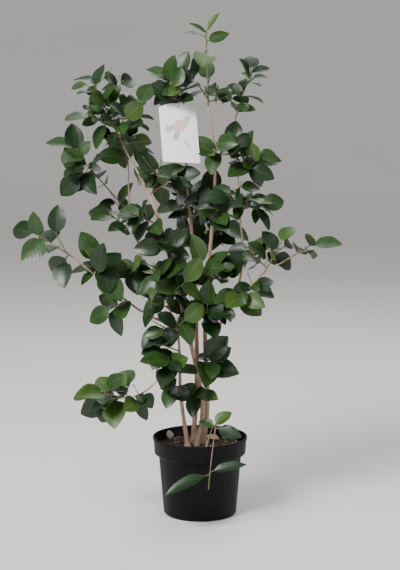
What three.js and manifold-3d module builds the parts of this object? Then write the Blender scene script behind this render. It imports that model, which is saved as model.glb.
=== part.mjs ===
// A young camellia shrub in its nursery pot, in millimetres, +Z up.
// The origin is the middle of the pot's flat underside. The shrub is seen from the front when one looks along +Y.
// Several stems rise from one root ball. Boughs leave the stems, and each ends where a spray of foliage starts.
// A spray is one leading shoot with side shoots and leaves on it, fused into one solid.
import * as THREE from 'three';
import { mergeVertices } from 'three/addons/utils/BufferGeometryUtils.js';
import Module from 'manifold-3d';

const wasm = await Module();
wasm.setup();

const DEGREE = Math.PI / 180;
const GOLDEN_ANGLE = 137.5;
const UP = new THREE.Vector3(0, 0, 1);
const FRONT = new THREE.Vector3(0, -1, 0); // the side that the shrub's light comes from
const GAP = 0.3; // clear space between two pieces that touch on the real plant

// The pot is blow moulded, with a deep band round its rim and holes in its floor.
const POT = {
  height: 208,
  rimRadius: 125,
  bandFootRadius: 121,
  bandHeight: 40,
  stepHeight: 14,
  waistRadius: 109,
  baseRadius: 97,
  baseRounding: 8,
  wall: 2.4,
  sides: 36,
};
const DRAIN = { holes: 6, radius: 7, ring: 68, sides: 8 };

// The compost lies flat round the stems and falls away to the wall.
const SOIL = { level: 186, flatRadius: 62, edgeDrop: 6 };

// Each stem rises from the soil, and each bough from another limb at the height "leaves".
// The route is the few places that the limb passes after its start. The radii are at its foot and its tip.
const LIMBS = {
  stem_left: {
    foot: [-12, -14],
    route: [[5, -18, 310], [-62, -45, 622], [-120, -55, 827], [-196, -45, 975]],
    radii: [8, 2.4],
  },
  stem_centre: {
    foot: [6, 12],
    route: [[19, 14, 300], [14, 18, 520], [39, 12, 900], [21, 4, 1075]],
    radii: [8.6, 2.4],
  },
  stem_back: {
    foot: [-18, 22],
    route: [[-8, 40, 400], [-18, 62, 690], [-36, 46, 900], [-31, 14, 1041]],
    radii: [7.2, 2.4],
  },
  stem_front: {
    foot: [-30, -36],
    route: [[-50, -56, 330], [-55, -76, 480], [-78, -82, 560]],
    radii: [6, 2.2],
  },
  bough_right_tall: {
    from: 'stem_centre',
    leaves: 415,
    route: [[46, -10, 496], [86, -22, 562], [111, -26, 680], [103, -20, 801], [90, 0, 1040]],
    radii: [4.6, 2.1],
  },
  bough_right_low: {
    from: 'bough_right_tall',
    leaves: 565,
    route: [[130, -45, 614], [172, -60, 656], [213, -70, 680]],
    radii: [3, 2],
  },
  bough_left_tall: {
    from: 'stem_left',
    leaves: 455,
    route: [[-90, 16, 520], [-143, 36, 590], [-158, 48, 690], [-183, 48, 800], [-188, 40, 925]],
    radii: [3.8, 2],
  },
  bough_left_low: {
    from: 'stem_left',
    leaves: 490,
    route: [[-147, -60, 548], [-235, -85, 620], [-322, -108, 697]],
    radii: [3.8, 2],
  },
  bough_low_left: {
    from: 'stem_front',
    leaves: 425,
    route: [[-97, -76, 384], [-140, -84, 346], [-180, -88, 328]],
    radii: [2.6, 1.8],
  },
  bough_back: {
    from: 'stem_centre',
    leaves: 470,
    route: [[30, 110, 560], [24, 190, 680]],
    radii: [3.6, 2],
  },
  bough_rim: {
    foot: [14, -44],
    route: [[30, -70, 240], [42, -92, 262]],
    radii: [2.4, 1.7],
  },
};
const LIMB = { sides: 7, step: 55, flare: 3.2, flareHeight: 16, rootDepth: 12 };

// A spray's leading shoot starts at its limb's tip or, with "at", on the limb at that height.
// A shoot is [heading, pitch, length]: its compass angle from +X towards +Y, its slope and its length.
// "lift" bends it up, or down below 0. "leaf" is the length of its leaves, "count" their number on the
// leading shoot, "bare" the share of it before the first leaf, and "turn" the first leaf's angle round it.
// Side shoots are rows of [share of the leading shoot, heading, pitch, length, count], or just their number. A row
// can end with a length of its own for its leaves, with the share of the usual width that they have, and with the
// first leaf's angle round it. At 270 degrees that leaf opens away from the leading shoot.
const SPRAYS = {
  foliage_crown_left: {
    on: 'stem_back', shoot: [160, 74, 108], leaf: 70, count: 7, turn: 0, seed: 14,
    sides: [[0.44, 225, 6, 36, 3], [0.52, 187, 43, 60, 4], [0.65, -21, 42, 45, 4]],
  },
  foliage_leader: {
    on: 'stem_centre', shoot: [214, 88, 182], leaf: 68, count: 0, turn: 0, seed: 11,
    sides: [
      [0.06, -21, 9, 50, 3], [0.1, 140, 45, 50, 2], [0.2, 200, 50, 14, 2], [0.3, 60, 50, 14, 2],
      [0.74, -105, 15, 8, 1, 92, 1, 270], [0.86, -8, 70, 7, 1, 72, 0.8, 270], [0.93, 178, 66, 7, 1, 62, 0.6, 270],
      [0.99, 3, 95, 6, 1, 68, 0.5, 270], [0.97, 180, 95, 6, 1, 60, 0.5, 270],
      [0.03, -75, 40, 10, 1, 66, 1.1, 270],
    ],
  },
  foliage_right_top: {
    on: 'bough_right_tall', shoot: [13, 72, 135], leaf: 62, count: 9, turn: 0, seed: 8,
    sides: [[0.25, -142, 26, 40, 3]],
  },
  foliage_right_upper: {
    on: 'bough_right_tall', at: 930, shoot: [-15, 6, 50], leaf: 74, count: 4, turn: 0, seed: 2,
    sides: [[0.15, -142, 53, 60, 4], [0.25, -60, -20, 50, 3]],
  },
  foliage_right_middle: {
    on: 'bough_right_tall', at: 815, shoot: [-9, 5, 55], leaf: 74, count: 4, turn: 0, seed: 4,
    sides: [[0.2, -150, 30, 55, 4], [0.25, 100, 20, 60, 4]],
  },
  foliage_right_tip: {
    on: 'bough_right_low', shoot: [-6, 32, 90], leaf: 70, count: 5, turn: 60, bare: 0.45, seed: 8,
  },
  foliage_right_arm: {
    on: 'bough_right_low', at: 650, shoot: [6, 61, 90], leaf: 74, count: 6, turn: 0, seed: 15,
    sides: [[0.15, 160, 42, 60, 4], [0.1, -68, -40, 50, 4]],
  },
  foliage_right_low: {
    on: 'bough_right_low', at: 612, shoot: [-70, 5, 40], leaf: 62, count: 4, turn: 0, seed: 31,
  },
  foliage_right_inner: {
    on: 'bough_right_tall', at: 590, shoot: [-75, 5, 70], leaf: 74, count: 6, turn: 0, seed: 41,
  },
  foliage_left_top: {
    on: 'stem_left', shoot: [177, 65, 180], leaf: 74, count: 8, turn: 0, seed: 1,
    sides: [[0.05, -17, -4, 50, 3], [0.12, 15, 54, 95, 5], [0.28, -160, 22, 70, 4], [0.45, 56, 70, 80, 4],
      [0.2, -60, 40, 60, 4]],
  },
  foliage_left_outer: {
    on: 'bough_left_tall', at: 790, shoot: [193, 49, 240], leaf: 76, count: 8, turn: 0, bare: 0.45, seed: 7,
    sides: [[0.65, 217, -20, 40, 3]],
  },
  foliage_left_tall: {
    on: 'bough_left_tall', shoot: [100, 50, 80], leaf: 74, count: 7, turn: 0, seed: 7,
  },
  foliage_left_middle: {
    on: 'bough_left_tall', at: 735, shoot: [203, 40, 90], leaf: 76, count: 6, turn: 0, seed: 21,
    sides: [[0.2, 150, 60, 75, 4]],
  },
  foliage_left_low: {
    on: 'bough_left_tall', at: 640, shoot: [-125, 15, 55], leaf: 74, count: 5, turn: 0, seed: 32,
  },
  foliage_left_arm: {
    on: 'bough_left_low', shoot: [188, 33, 114], leaf: 78, count: 5, turn: 0, bare: 0.4, seed: 7,
    sides: [[0.15, 175, 58, 50, 2], [0.1, -129, -40, 30, 2]],
  },
  foliage_left_arm_inner: {
    on: 'bough_left_low', at: 630, shoot: [140, 62, 60], leaf: 84, count: 4, turn: 0, seed: 2,
    sides: [[0.15, -100, 20, 40, 3]],
  },
  foliage_left_arm_low: {
    on: 'bough_left_low', at: 580, shoot: [-142, -20, 50], leaf: 72, count: 5, turn: 0, seed: 15,
    sides: [[0.2, 120, 60, 60, 3]],
  },
  foliage_front: {
    on: 'stem_front', shoot: [192, 72, 120], leaf: 78, count: 7, turn: 0, seed: 12,
    sides: [[0.05, 210, 10, 65, 4], [0.3, -20, 30, 60, 4]],
  },
  foliage_front_middle: {
    on: 'stem_front', at: 492, shoot: [200, 30, 75], leaf: 80, count: 6, turn: 0, seed: 30,
    sides: [[0.3, -40, 30, 50, 4]],
  },
  foliage_front_low: {
    on: 'stem_front', at: 398, shoot: [238, 30, 55], leaf: 76, count: 5, turn: 0, seed: 13,
  },
  foliage_low_left: {
    on: 'bough_low_left', shoot: [184, 10, 80], leaf: 84, count: 5, turn: 0, seed: 22,
    sides: [[0.1, 120, 60, 22, 2], [0.3, 200, -20, 45, 3]],
  },
  foliage_low_left_inner: {
    on: 'bough_low_left', at: 342, shoot: [-140, -40, 25], leaf: 68, count: 4, turn: 0, seed: 28,
  },
  foliage_front_foot: {
    on: 'stem_front', at: 352, shoot: [215, 12, 40], leaf: 64, count: 5, turn: 0, seed: 43,
  },
  foliage_front_inner: {
    on: 'stem_front', at: 448, shoot: [180, 20, 50], leaf: 70, count: 6, turn: 0, seed: 43,
  },
  foliage_foot: {
    on: 'stem_centre', at: 372, shoot: [-95, 49, 80], leaf: 88, count: 5, turn: 0, seed: 24,
    sides: [[0.4, 10, 35, 45, 3]],
  },
  foliage_skirt: {
    on: 'stem_left', at: 322, shoot: [240, 15, 45], leaf: 66, count: 5, turn: 0, seed: 16,
  },
  foliage_centre_low: {
    on: 'stem_centre', at: 476, shoot: [-85, 51, 110], leaf: 78, count: 7, turn: 0, seed: 17, sides: 2,
  },
  foliage_centre: {
    on: 'stem_centre', at: 600, shoot: [-100, 45, 100], leaf: 78, count: 7, turn: 0, seed: 18, sides: 2,
  },
  foliage_centre_high: {
    on: 'stem_centre', at: 760, shoot: [-80, 50, 100], leaf: 76, count: 7, turn: 0, seed: 19, sides: 2,
  },
  foliage_centre_top: {
    on: 'stem_centre', at: 930, shoot: [-88, 40, 80], leaf: 74, count: 6, turn: 0, seed: 20, sides: 2,
  },
  foliage_left_stem: {
    on: 'stem_left', at: 690, shoot: [-110, 35, 70], leaf: 76, count: 6, turn: 0, seed: 22, sides: 2,
  },
  foliage_left_stem_middle: {
    on: 'stem_left', at: 770, shoot: [-160, 25, 70], leaf: 74, count: 6, turn: 0, seed: 44,
  },
  foliage_left_stem_high: {
    on: 'stem_left', at: 850, shoot: [20, 35, 85], leaf: 76, count: 5, turn: 0, seed: 23, sides: 2,
  },
  foliage_back_low: {
    on: 'stem_back', at: 560, shoot: [120, 40, 110], leaf: 78, count: 6, turn: 0, seed: 24, sides: 2,
  },
  foliage_back_high: {
    on: 'stem_back', at: 760, shoot: [70, 50, 120], leaf: 78, count: 6, turn: 0, seed: 25, sides: 2,
  },
  foliage_back: {
    on: 'bough_back', shoot: [90, 60, 110], leaf: 78, count: 6, turn: 0, seed: 26, sides: 2,
  },
  foliage_rim: {
    on: 'bough_rim', shoot: [-105, -50, 121], lift: -0.45, leaf: 92, count: 0, turn: 0, seed: 2,
    sides: [
      [0.1, 8, 88, 5, 1, 56, 1.1, 270], [0.12, 172, 66, 5, 1, 48, 1.1, 270], [0.14, -15, 38, 6, 1, 72, 0.85, 270],
      [0.82, 20, 12, 6, 1, 96, 0.5], [0.84, 187, -30, 8, 1, 110, 0.45],
    ],
  },
};
const SHOOT = { sides: 3, rows: 2, foot: 1.9, tip: 1.3, bare: 0.3 };

// Side shoots that aren't listed leave the leading one in a spiral, at these shares, slopes and lengths.
const SIDE = {
  bare: 0.35,
  lift: 0.1,
  first: 0.3,
  last: 0.8,
  heading: 70,
  headingThrow: 20,
  pitch: [10, 45],
  length: [0.45, 0.65],
  count: 4,
};

// How leaves stand on a shoot. They open wide low on it and close up at its tip, by "open".
// Pairs are the lowest and the highest throw, and one number is a throw to either side. All angles are degrees.
const GROWTH = {
  open: [68, 34],
  openThrow: 12,
  rollThrow: 20,
  flatOnLevel: 0.4,
  droop: [0.05, 0.4],
  faceAlong: 0.35,
  faceUp: 0.45,
  faceFront: 0.6,
  faceThrow: 30,
  length: [0.84, 1.12],
  width: [0.9, 1.08],
  curl: [0.04, 0.24],
  fold: [0.12, 0.4],
};

// A leaf's rows are shares of its length, and "wide" is the share of its full width at each.
const LEAF = {
  halfWidth: 0.34,
  halfThick: 0.008,
  rows: [0, 0.34, 0.7, 1],
  wide: [0.03, 0.96, 0.78, 0],
};

// The plant's label is a card with an arched top, hung on a wire loop over a side shoot of one spray.
const LABEL = {
  spray: 'foliage_crown_left',
  share: 0.58,
  width: 100,
  sideHeight: 150,
  archRise: 14,
  thick: 0.8,
  holeRadius: 2.5,
  holeBelowTop: 11,
  heading: 20,
  leanBack: 25,
  swing: 4,
  shownShare: 0.88,
  shownDepth: 110,
};
const TIE = { radius: 10, wire: 0.7, wireSides: 4, parts: 14 };

const COLOURS = {
  pot: { color: 0x14161a, roughness: 0.55 },
  soil: { color: 0x3b2a1e, roughness: 0.95 },
  bark: { color: 0x8a6a4e, roughness: 0.85 },
  foliage: { color: 0x2c4a22, roughness: 0.4 },
  label: { color: 0xe9e6ea, roughness: 0.6 },
  tie: { color: 0x2a2c2a, roughness: 0.5 },
};

// The same seed always gives the same row of throws.
function diceOf(seed) {
  const factor = 1664525;
  const step = 1013904223;
  const modulus = 2 ** 32;
  let state = seed;
  const dice = (low, high) => {
    state = (state * factor + step) % modulus;
    return low + (high - low) * (state / modulus);
  };
  dice(0, 1); // neighbouring seeds have nearly the same first throw
  return dice;
}

function solidOf(geometry) {
  geometry.deleteAttribute('normal');
  geometry.deleteAttribute('uv');
  const merged = mergeVertices(geometry, 1e-3);
  return new wasm.Manifold(new wasm.Mesh({
    numProp: 3,
    vertProperties: merged.attributes.position.array,
    triVerts: new Uint32Array(merged.index.array),
  }));
}

// A closed rod of corners in rows, which "corner" puts in place by the row and the spoke from its middle.
// A pointed rod's last row is one corner.
function rod(sides, rows, corner, pointed = false) {
  const geometry = new THREE.CylinderGeometry(pointed ? 0 : 1, 1, rows, sides, rows);
  const { position } = geometry.attributes;
  for (let i = 0; i < position.count; i += 1) {
    const spoke = new THREE.Vector2(position.getX(i), position.getZ(i)).normalize();
    const row = Math.round(position.getY(i) + rows / 2);
    position.setXYZ(i, ...corner(row, spoke).toArray());
  }
  return solidOf(geometry);
}

// A tapering rod along a row of places, twisted as little as possible.
function limbRod(places, radii, sides) {
  let side = new THREE.Vector3(1, 0, 0);
  const frames = places.map((place, i) => {
    const before = places[Math.max(i - 1, 0)];
    const after = places[Math.min(i + 1, places.length - 1)];
    const along = after.clone().sub(before).normalize();
    side = side.clone().projectOnPlane(along).normalize();
    return { side, other: side.clone().cross(along) };
  });
  return rod(sides, places.length - 1, (row, spoke) => places[row].clone()
    .addScaledVector(frames[row].side, radii[row] * spoke.x)
    .addScaledVector(frames[row].other, radii[row] * spoke.y));
}

function largestPiece(solid) {
  return solid.decompose().reduce((a, b) => (b.volume() > a.volume() ? b : a));
}

// The place where a limb first passes a height, found by halving the stretch that holds it.
function placeAtHeight(curve, height) {
  const halvings = 30;
  const rises = curve.getPoint(1).z > curve.getPoint(0).z;
  let low = 0;
  let high = 1;
  for (let i = 0; i < halvings; i += 1) {
    const middle = (low + high) / 2;
    const above = curve.getPoint(middle).z > height;
    if (above === rises) high = middle;
    else low = middle;
  }
  return curve.getPoint(low);
}

function limbCurve(limb, parent) {
  const start = parent
    ? placeAtHeight(parent.curve, limb.leaves)
    : new THREE.Vector3(...limb.foot, SOIL.level - LIMB.rootDepth);
  const places = [start, ...limb.route.map((place) => new THREE.Vector3(...place))];
  return new THREE.CatmullRomCurve3(places, false, 'catmullrom', 0.5);
}

function limbSolid(limb, curve, grown) {
  const steps = Math.max(3, Math.round(curve.getLength() / LIMB.step));
  const places = curve.getPoints(steps);
  places.at(-1).addScaledVector(curve.getTangent(1), grown);
  const radii = places.map((place, i) => {
    const above = Math.max(place.z - SOIL.level, 0);
    const flare = limb.foot ? LIMB.flare * Math.exp(-above / LIMB.flareHeight) : 0;
    return THREE.MathUtils.lerp(...limb.radii, i / steps) + flare + grown;
  });
  return limbRod(places, radii, LIMB.sides);
}

// A stem is cut flat where it meets the soil, and a bough is saddled on the limb that it leaves.
function makeLimb(limb, parent) {
  const curve = limbCurve(limb, parent);
  const whole = limbSolid(limb, curve, 0);
  const solid = parent
    ? largestPiece(whole.subtract(parent.grown))
    : whole.trimByPlane([0, 0, 1], SOIL.level + GAP);
  return { ...limb, curve, solid, grown: limbSolid(limb, curve, GAP) };
}

// A shoot sets off along its heading and pitch, and its lift bends it more and more towards its tip.
function makeShoot(start, [heading, pitch, length], lift, foot) {
  const [h, p] = [heading * DEGREE, pitch * DEGREE];
  const off = new THREE.Vector3(Math.cos(p) * Math.cos(h), Math.cos(p) * Math.sin(h), Math.sin(p));
  return {
    level: new THREE.Vector3(-Math.sin(h), Math.cos(h), 0),
    steep: Math.abs(Math.sin(p)),
    foot,
    place: (share) => start.clone()
      .addScaledVector(off, length * share)
      .addScaledVector(UP, lift * length * share * share),
    along: (share) => off.clone().addScaledVector(UP, 2 * lift * share).normalize(),
  };
}

function shootRadius(shoot, share) {
  return THREE.MathUtils.lerp(shoot.foot, SHOOT.tip, share);
}

function shootSolid(shoot, grown) {
  const shares = Array.from({ length: SHOOT.rows + 1 }, (_, i) => i / SHOOT.rows);
  return limbRod(shares.map(shoot.place), shares.map((share) => shootRadius(shoot, share) + grown), SHOOT.sides);
}

// A blade has three corners across: its two edges, folded up, and its midrib underneath. It bends down to its tip.
// "from" is its first row, and "grown" is added all round.
function leafSolid(leaf, from, grown) {
  const across = leaf.face.clone().cross(leaf.along);
  const edge = Math.sin(2 * Math.PI / 3);
  const rows = LEAF.rows.slice(from);
  const wide = LEAF.wide.slice(from);
  return rod(3, rows.length - 1, (row, spoke) => {
    const share = rows[row];
    const reach = (wide[row] * leaf.halfWidth * leaf.length + grown) * (spoke.x / edge);
    const rise = -(LEAF.halfThick * leaf.length + grown) * spoke.y;
    return leaf.root.clone()
      .addScaledVector(leaf.along, leaf.length * share)
      .addScaledVector(leaf.face, rise + leaf.fold * Math.abs(reach) - leaf.curl * leaf.length * share * share)
      .addScaledVector(across, reach);
  }, true);
}

// Leaves spiral round a shoot by the golden angle. On a level shoot they lie more to its sides.
// Their faces turn up, to the light and towards the shoot's tip.
function leavesOn({ shoot, count, bare, turn, size, slim }, dice) {
  const either = (most) => dice(-most, most);
  return Array.from({ length: count }, (_, i) => {
    const order = count > 1 ? i / (count - 1) : 1;
    const share = THREE.MathUtils.lerp(bare, 1, order);
    const along = shoot.along(share);
    const rise = along.clone().cross(shoot.level);
    const roll = (turn + GOLDEN_ANGLE * i + either(GROWTH.rollThrow)) * DEGREE;
    const flat = THREE.MathUtils.lerp(GROWTH.flatOnLevel, 1, shoot.steep);
    const out = shoot.level.clone().multiplyScalar(Math.cos(roll))
      .addScaledVector(rise, Math.sin(roll) * flat).normalize();
    const open = (THREE.MathUtils.lerp(...GROWTH.open, order ** 3) + either(GROWTH.openThrow)) * DEGREE;
    const aim = along.clone().multiplyScalar(Math.cos(open))
      .addScaledVector(out, Math.sin(open))
      .addScaledVector(UP, -dice(...GROWTH.droop)).normalize();
    const face = along.clone().multiplyScalar(GROWTH.faceAlong)
      .addScaledVector(UP, GROWTH.faceUp).addScaledVector(FRONT, GROWTH.faceFront)
      .projectOnPlane(aim).normalize().applyAxisAngle(aim, either(GROWTH.faceThrow) * DEGREE);
    return {
      root: shoot.place(share),
      along: aim,
      face,
      length: size * dice(...GROWTH.length),
      halfWidth: LEAF.halfWidth * slim * dice(...GROWTH.width),
      curl: dice(...GROWTH.curl),
      fold: dice(...GROWTH.fold),
    };
  });
}

// What stands so far. "free" is the part of a piece that its own spray may not touch either, such as a leaf's blade
// without its root.
const standing = [];
function stand(owner, solid, free = solid) {
  standing.push({ owner, solid, free, box: solid.boundingBox() });
}

function boxesMeet(a, b) {
  return [0, 1, 2].every((i) => a.min[i] <= b.max[i] && b.min[i] <= a.max[i]);
}

// A shoot has no free part, because it may cross its own spray.
function isClear(owner, solid, free) {
  const box = solid.boundingBox();
  return !standing.some((other) => {
    if (!boxesMeet(box, other.box)) return false;
    if (other.owner !== owner) return solid.intersect(other.solid).volume() > 0;
    return free !== undefined && free.intersect(other.free).volume() > 0;
  });
}

function leadingShoot(spray, limb) {
  const lift = spray.lift ?? 0;
  if (spray.at) return makeShoot(placeAtHeight(limb.curve, spray.at), spray.shoot, lift, SHOOT.foot);
  return makeShoot(limb.curve.getPoint(1), spray.shoot, lift, limb.radii[1]);
}

function sideRows(spray, dice) {
  if (Array.isArray(spray.sides)) return spray.sides;
  const [heading, , length] = spray.shoot;
  return Array.from({ length: spray.sides ?? 0 }, (_, i) => [
    THREE.MathUtils.lerp(SIDE.first, SIDE.last, i / spray.sides),
    heading + SIDE.heading + GOLDEN_ANGLE * i + dice(-SIDE.headingThrow, SIDE.headingThrow),
    dice(...SIDE.pitch),
    length * dice(...SIDE.length),
    SIDE.count,
  ]);
}

function shootsOf(name, spray, limb, dice) {
  const leader = leadingShoot(spray, limb);
  const { count: leaves, bare = SHOOT.bare, turn, leaf } = spray;
  const shoots = [{ shoot: leader, count: leaves, bare, turn, size: leaf, slim: 1 }];
  stand(name, shootSolid(leader, 0));
  for (const [share, heading, pitch, length, count, size = leaf, slim = 1, roll] of sideRows(spray, dice)) {
    const start = leader.place(share);
    const shoot = makeShoot(start, [heading, pitch, length], SIDE.lift, shootRadius(leader, share));
    if (isClear(name, shootSolid(shoot, GAP))) {
      shoots.push({ shoot, count, bare: SIDE.bare, turn: roll ?? dice(0, 360), size, slim });
      stand(name, shootSolid(shoot, 0));
    }
  }
  return shoots;
}

// A leaf that would touch a limb, the label or another leaf isn't grown, nor is one that would hide the label.
function makeFoliage({ name, limb, shoots, dice }, beforeLabel) {
  const pieces = shoots.map(({ shoot }) => shootSolid(shoot, 0));
  for (const shoot of shoots) {
    for (const leaf of leavesOn(shoot, dice)) {
      const solid = leafSolid(leaf, 0, 0);
      const hides = solid.intersect(beforeLabel).volume() > 0;
      if (!hides && isClear(name, leafSolid(leaf, 0, GAP), leafSolid(leaf, 1, GAP))) {
        pieces.push(solid);
        stand(name, solid, leafSolid(leaf, 1, 0));
      }
    }
  }
  return largestPiece(wasm.Manifold.union(pieces).subtract(limb.grown));
}

// The outline runs from the middle of the underside up the outside, over the rim and down inside to the floor.
function makePot() {
  const { height, baseRadius, baseRounding, waistRadius, bandFootRadius, rimRadius, wall } = POT;
  const bandFoot = height - POT.bandHeight;
  const waist = bandFoot - POT.stepHeight;
  const midRounding = baseRounding * (1 - Math.SQRT1_2);
  const outline = [
    [0, 0],
    [baseRadius - baseRounding, 0],
    [baseRadius - midRounding, midRounding],
    [baseRadius, baseRounding],
    [waistRadius, waist],
    [bandFootRadius, bandFoot],
    [rimRadius, height],
    [rimRadius - wall, height],
    [bandFootRadius - wall, bandFoot],
    [waistRadius - wall, waist],
    [baseRadius - wall, baseRounding],
    [baseRadius - baseRounding, wall],
    [0, wall],
  ];
  let pot = turned(outline);
  for (let i = 0; i < DRAIN.holes; i += 1) {
    const angle = (2 * Math.PI * i) / DRAIN.holes;
    const hole = new THREE.CylinderGeometry(DRAIN.radius, DRAIN.radius, 4 * wall, DRAIN.sides);
    hole.rotateX(Math.PI / 2).translate(DRAIN.ring * Math.cos(angle), DRAIN.ring * Math.sin(angle), 0);
    pot = pot.subtract(solidOf(hole));
  }
  return pot;
}

// The compost fills the pot up to its level, just clear of the wall.
function makeSoil() {
  const { baseRadius, baseRounding, waistRadius, bandFootRadius, rimRadius, wall } = POT;
  const bandFoot = POT.height - POT.bandHeight;
  const edge = SOIL.level - SOIL.edgeDrop;
  const inset = wall + 2 * GAP;
  const edgeRadius = THREE.MathUtils.mapLinear(edge, bandFoot, POT.height, bandFootRadius, rimRadius);
  return turned([
    [0, wall + GAP],
    [baseRadius - baseRounding - inset, wall + GAP],
    [baseRadius - inset, baseRounding],
    [waistRadius - inset, bandFoot - POT.stepHeight],
    [bandFootRadius - inset, bandFoot],
    [edgeRadius - inset, edge],
    [SOIL.flatRadius, SOIL.level],
    [0, SOIL.level],
  ]);
}

function turned(outline) {
  const places = outline.map(([radius, height]) => new THREE.Vector2(radius, height));
  return solidOf(new THREE.LatheGeometry(places, POT.sides).rotateX(Math.PI / 2));
}

// The top of a solid where an upright plane across it passes through a place.
function topAt(solid, place, heading, breadth) {
  const across = new THREE.Vector3(Math.cos(heading), Math.sin(heading), 0);
  const near = across.dot(place);
  const slice = solid
    .trimByPlane(across.toArray(), near - breadth)
    .trimByPlane(across.clone().negate().toArray(), -near - breadth);
  return slice.boundingBox().max[2];
}

// The tie is a ring in the upright plane across its shoot. The card's hole hangs on the ring's lowest place.
// "before" is the space in front of the card's face, short of its edges. Leaves there were pinched off.
function makeLabel(shoot) {
  const heading = LABEL.heading * DEGREE;
  const leanBack = LABEL.leanBack * DEGREE;
  const ringMiddle = shoot.place(LABEL.share);
  ringMiddle.z = topAt(shootSolid(shoot, 0), ringMiddle, heading, TIE.wire) + GAP + TIE.wire - TIE.radius;
  const tie = new THREE.TorusGeometry(TIE.radius, TIE.wire, TIE.wireSides, TIE.parts)
    .rotateX(Math.PI / 2).rotateZ(Math.PI / 2 + heading)
    .translate(ringMiddle.x, ringMiddle.y, ringMiddle.z);

  // The outline's origin is the middle of the hole.
  const half = LABEL.width / 2;
  const top = LABEL.holeBelowTop;
  const shoulder = top - LABEL.archRise;
  const foot = shoulder - LABEL.sideHeight;
  const outline = new THREE.Shape();
  outline.moveTo(-half, foot);
  outline.lineTo(half, foot);
  outline.lineTo(half, shoulder);
  outline.quadraticCurveTo(0, top + LABEL.archRise, -half, shoulder);
  outline.holes.push(new THREE.Path().absarc(0, 0, LABEL.holeRadius, 0, 2 * Math.PI, true));
  const holeTop = LABEL.holeRadius * Math.cos(leanBack) - (LABEL.thick / 2) * Math.sin(leanBack);
  const drop = TIE.radius - TIE.wire - GAP + holeTop;
  const hung = new THREE.Matrix4()
    .makeTranslation(ringMiddle.x, ringMiddle.y, ringMiddle.z - drop)
    .multiply(new THREE.Matrix4().makeRotationZ(heading))
    .multiply(new THREE.Matrix4().makeRotationX(Math.PI / 2 - leanBack))
    .multiply(new THREE.Matrix4().makeRotationZ(-LABEL.swing * DEGREE));
  const card = new THREE.ExtrudeGeometry(outline, { depth: LABEL.thick, bevelEnabled: false, curveSegments: 5 })
    .translate(0, 0, -LABEL.thick / 2)
    .applyMatrix4(hung);

  // The four spokes turned by an eighth are the corners of a square, which is stretched to the card.
  const before = rod(4, 1, (row, spoke) => new THREE.Vector3(
    half * LABEL.shownShare * (spoke.x + spoke.y),
    (top + foot) / 2 + ((top - foot) / 2) * LABEL.shownShare * (spoke.x - spoke.y),
    0,
  ).applyMatrix4(hung).addScaledVector(FRONT, LABEL.shownDepth * row));
  return { tie: solidOf(tie), label: solidOf(card), before };
}

const shrub = new THREE.Group();
function addMesh(name, solid, look) {
  const { vertProperties, triVerts } = solid.getMesh();
  const geometry = new THREE.BufferGeometry();
  geometry.setAttribute('position', new THREE.BufferAttribute(vertProperties, 3));
  geometry.setIndex(new THREE.BufferAttribute(triVerts, 1));
  const mesh = new THREE.Mesh(geometry, new THREE.MeshStandardMaterial(look));
  mesh.name = name;
  shrub.add(mesh);
}

for (const [name, solid] of Object.entries({ pot: makePot(), soil: makeSoil() })) {
  stand(name, solid);
  addMesh(name, solid, COLOURS[name]);
}

const limbs = {};
for (const [name, limb] of Object.entries(LIMBS)) {
  limbs[name] = makeLimb(limb, limbs[limb.from]);
  stand(name, limbs[name].solid);
  addMesh(name, limbs[name].solid, COLOURS.bark);
}

// All shoots are grown first, and the label is hung on the first side shoot of its spray. The leaves come last.
const sprays = [];
let beforeLabel;
for (const [name, spray] of Object.entries(SPRAYS)) {
  const dice = diceOf(spray.seed);
  const limb = limbs[spray.on];
  const shoots = shootsOf(name, spray, limb, dice);
  sprays.push({ name, limb, dice, shoots });
  if (name === LABEL.spray) {
    const { before, ...hung } = makeLabel(shoots[1].shoot);
    for (const [piece, solid] of Object.entries(hung)) {
      stand(piece, solid);
      addMesh(piece, solid, COLOURS[piece]);
    }
    beforeLabel = before;
  }
}
for (const spray of sprays) addMesh(spray.name, makeFoliage(spray, beforeLabel), COLOURS.foliage);

export default shrub;
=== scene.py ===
# A young camellia shrub in its nursery pot, in metres, +Z up. The pot stands on the floor, at z = 0.
# The script follows the object as it is put together: pot, compost, stems, mulch, sprays, litter and card.
import math

import bpy
import numpy as np
from mathutils import Matrix, Vector
from mathutils.bvhtree import BVHTree


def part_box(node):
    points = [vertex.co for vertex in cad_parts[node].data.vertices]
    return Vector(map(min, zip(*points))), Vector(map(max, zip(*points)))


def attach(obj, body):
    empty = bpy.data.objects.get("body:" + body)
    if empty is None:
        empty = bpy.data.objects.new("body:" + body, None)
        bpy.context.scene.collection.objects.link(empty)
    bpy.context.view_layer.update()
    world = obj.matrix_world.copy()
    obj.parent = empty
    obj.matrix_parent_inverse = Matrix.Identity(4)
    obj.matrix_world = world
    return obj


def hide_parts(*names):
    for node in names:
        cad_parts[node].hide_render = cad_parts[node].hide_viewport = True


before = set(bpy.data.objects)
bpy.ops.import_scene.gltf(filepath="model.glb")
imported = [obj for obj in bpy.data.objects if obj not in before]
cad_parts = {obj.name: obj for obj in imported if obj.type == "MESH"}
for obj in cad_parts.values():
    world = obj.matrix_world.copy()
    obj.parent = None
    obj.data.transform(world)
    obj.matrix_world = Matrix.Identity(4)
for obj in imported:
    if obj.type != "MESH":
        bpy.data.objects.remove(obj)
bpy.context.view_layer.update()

# The camera stands where the photograph was taken, 3.7 m in front of the pot and 1.1 m above the floor.
# It looks slightly down. The lens follows from the photograph's height and focal length in pixels.
CAMERA_DISTANCE = 3.696
CAMERA_HEIGHT = 1.105
LOOK_DOWN = math.radians(7.62)
PHOTO_HEIGHT = 570
FOCAL_LENGTH_PIXELS = 1427
SENSOR_WIDTH = 36
bpy.ops.object.select_all(action="DESELECT")
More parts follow.
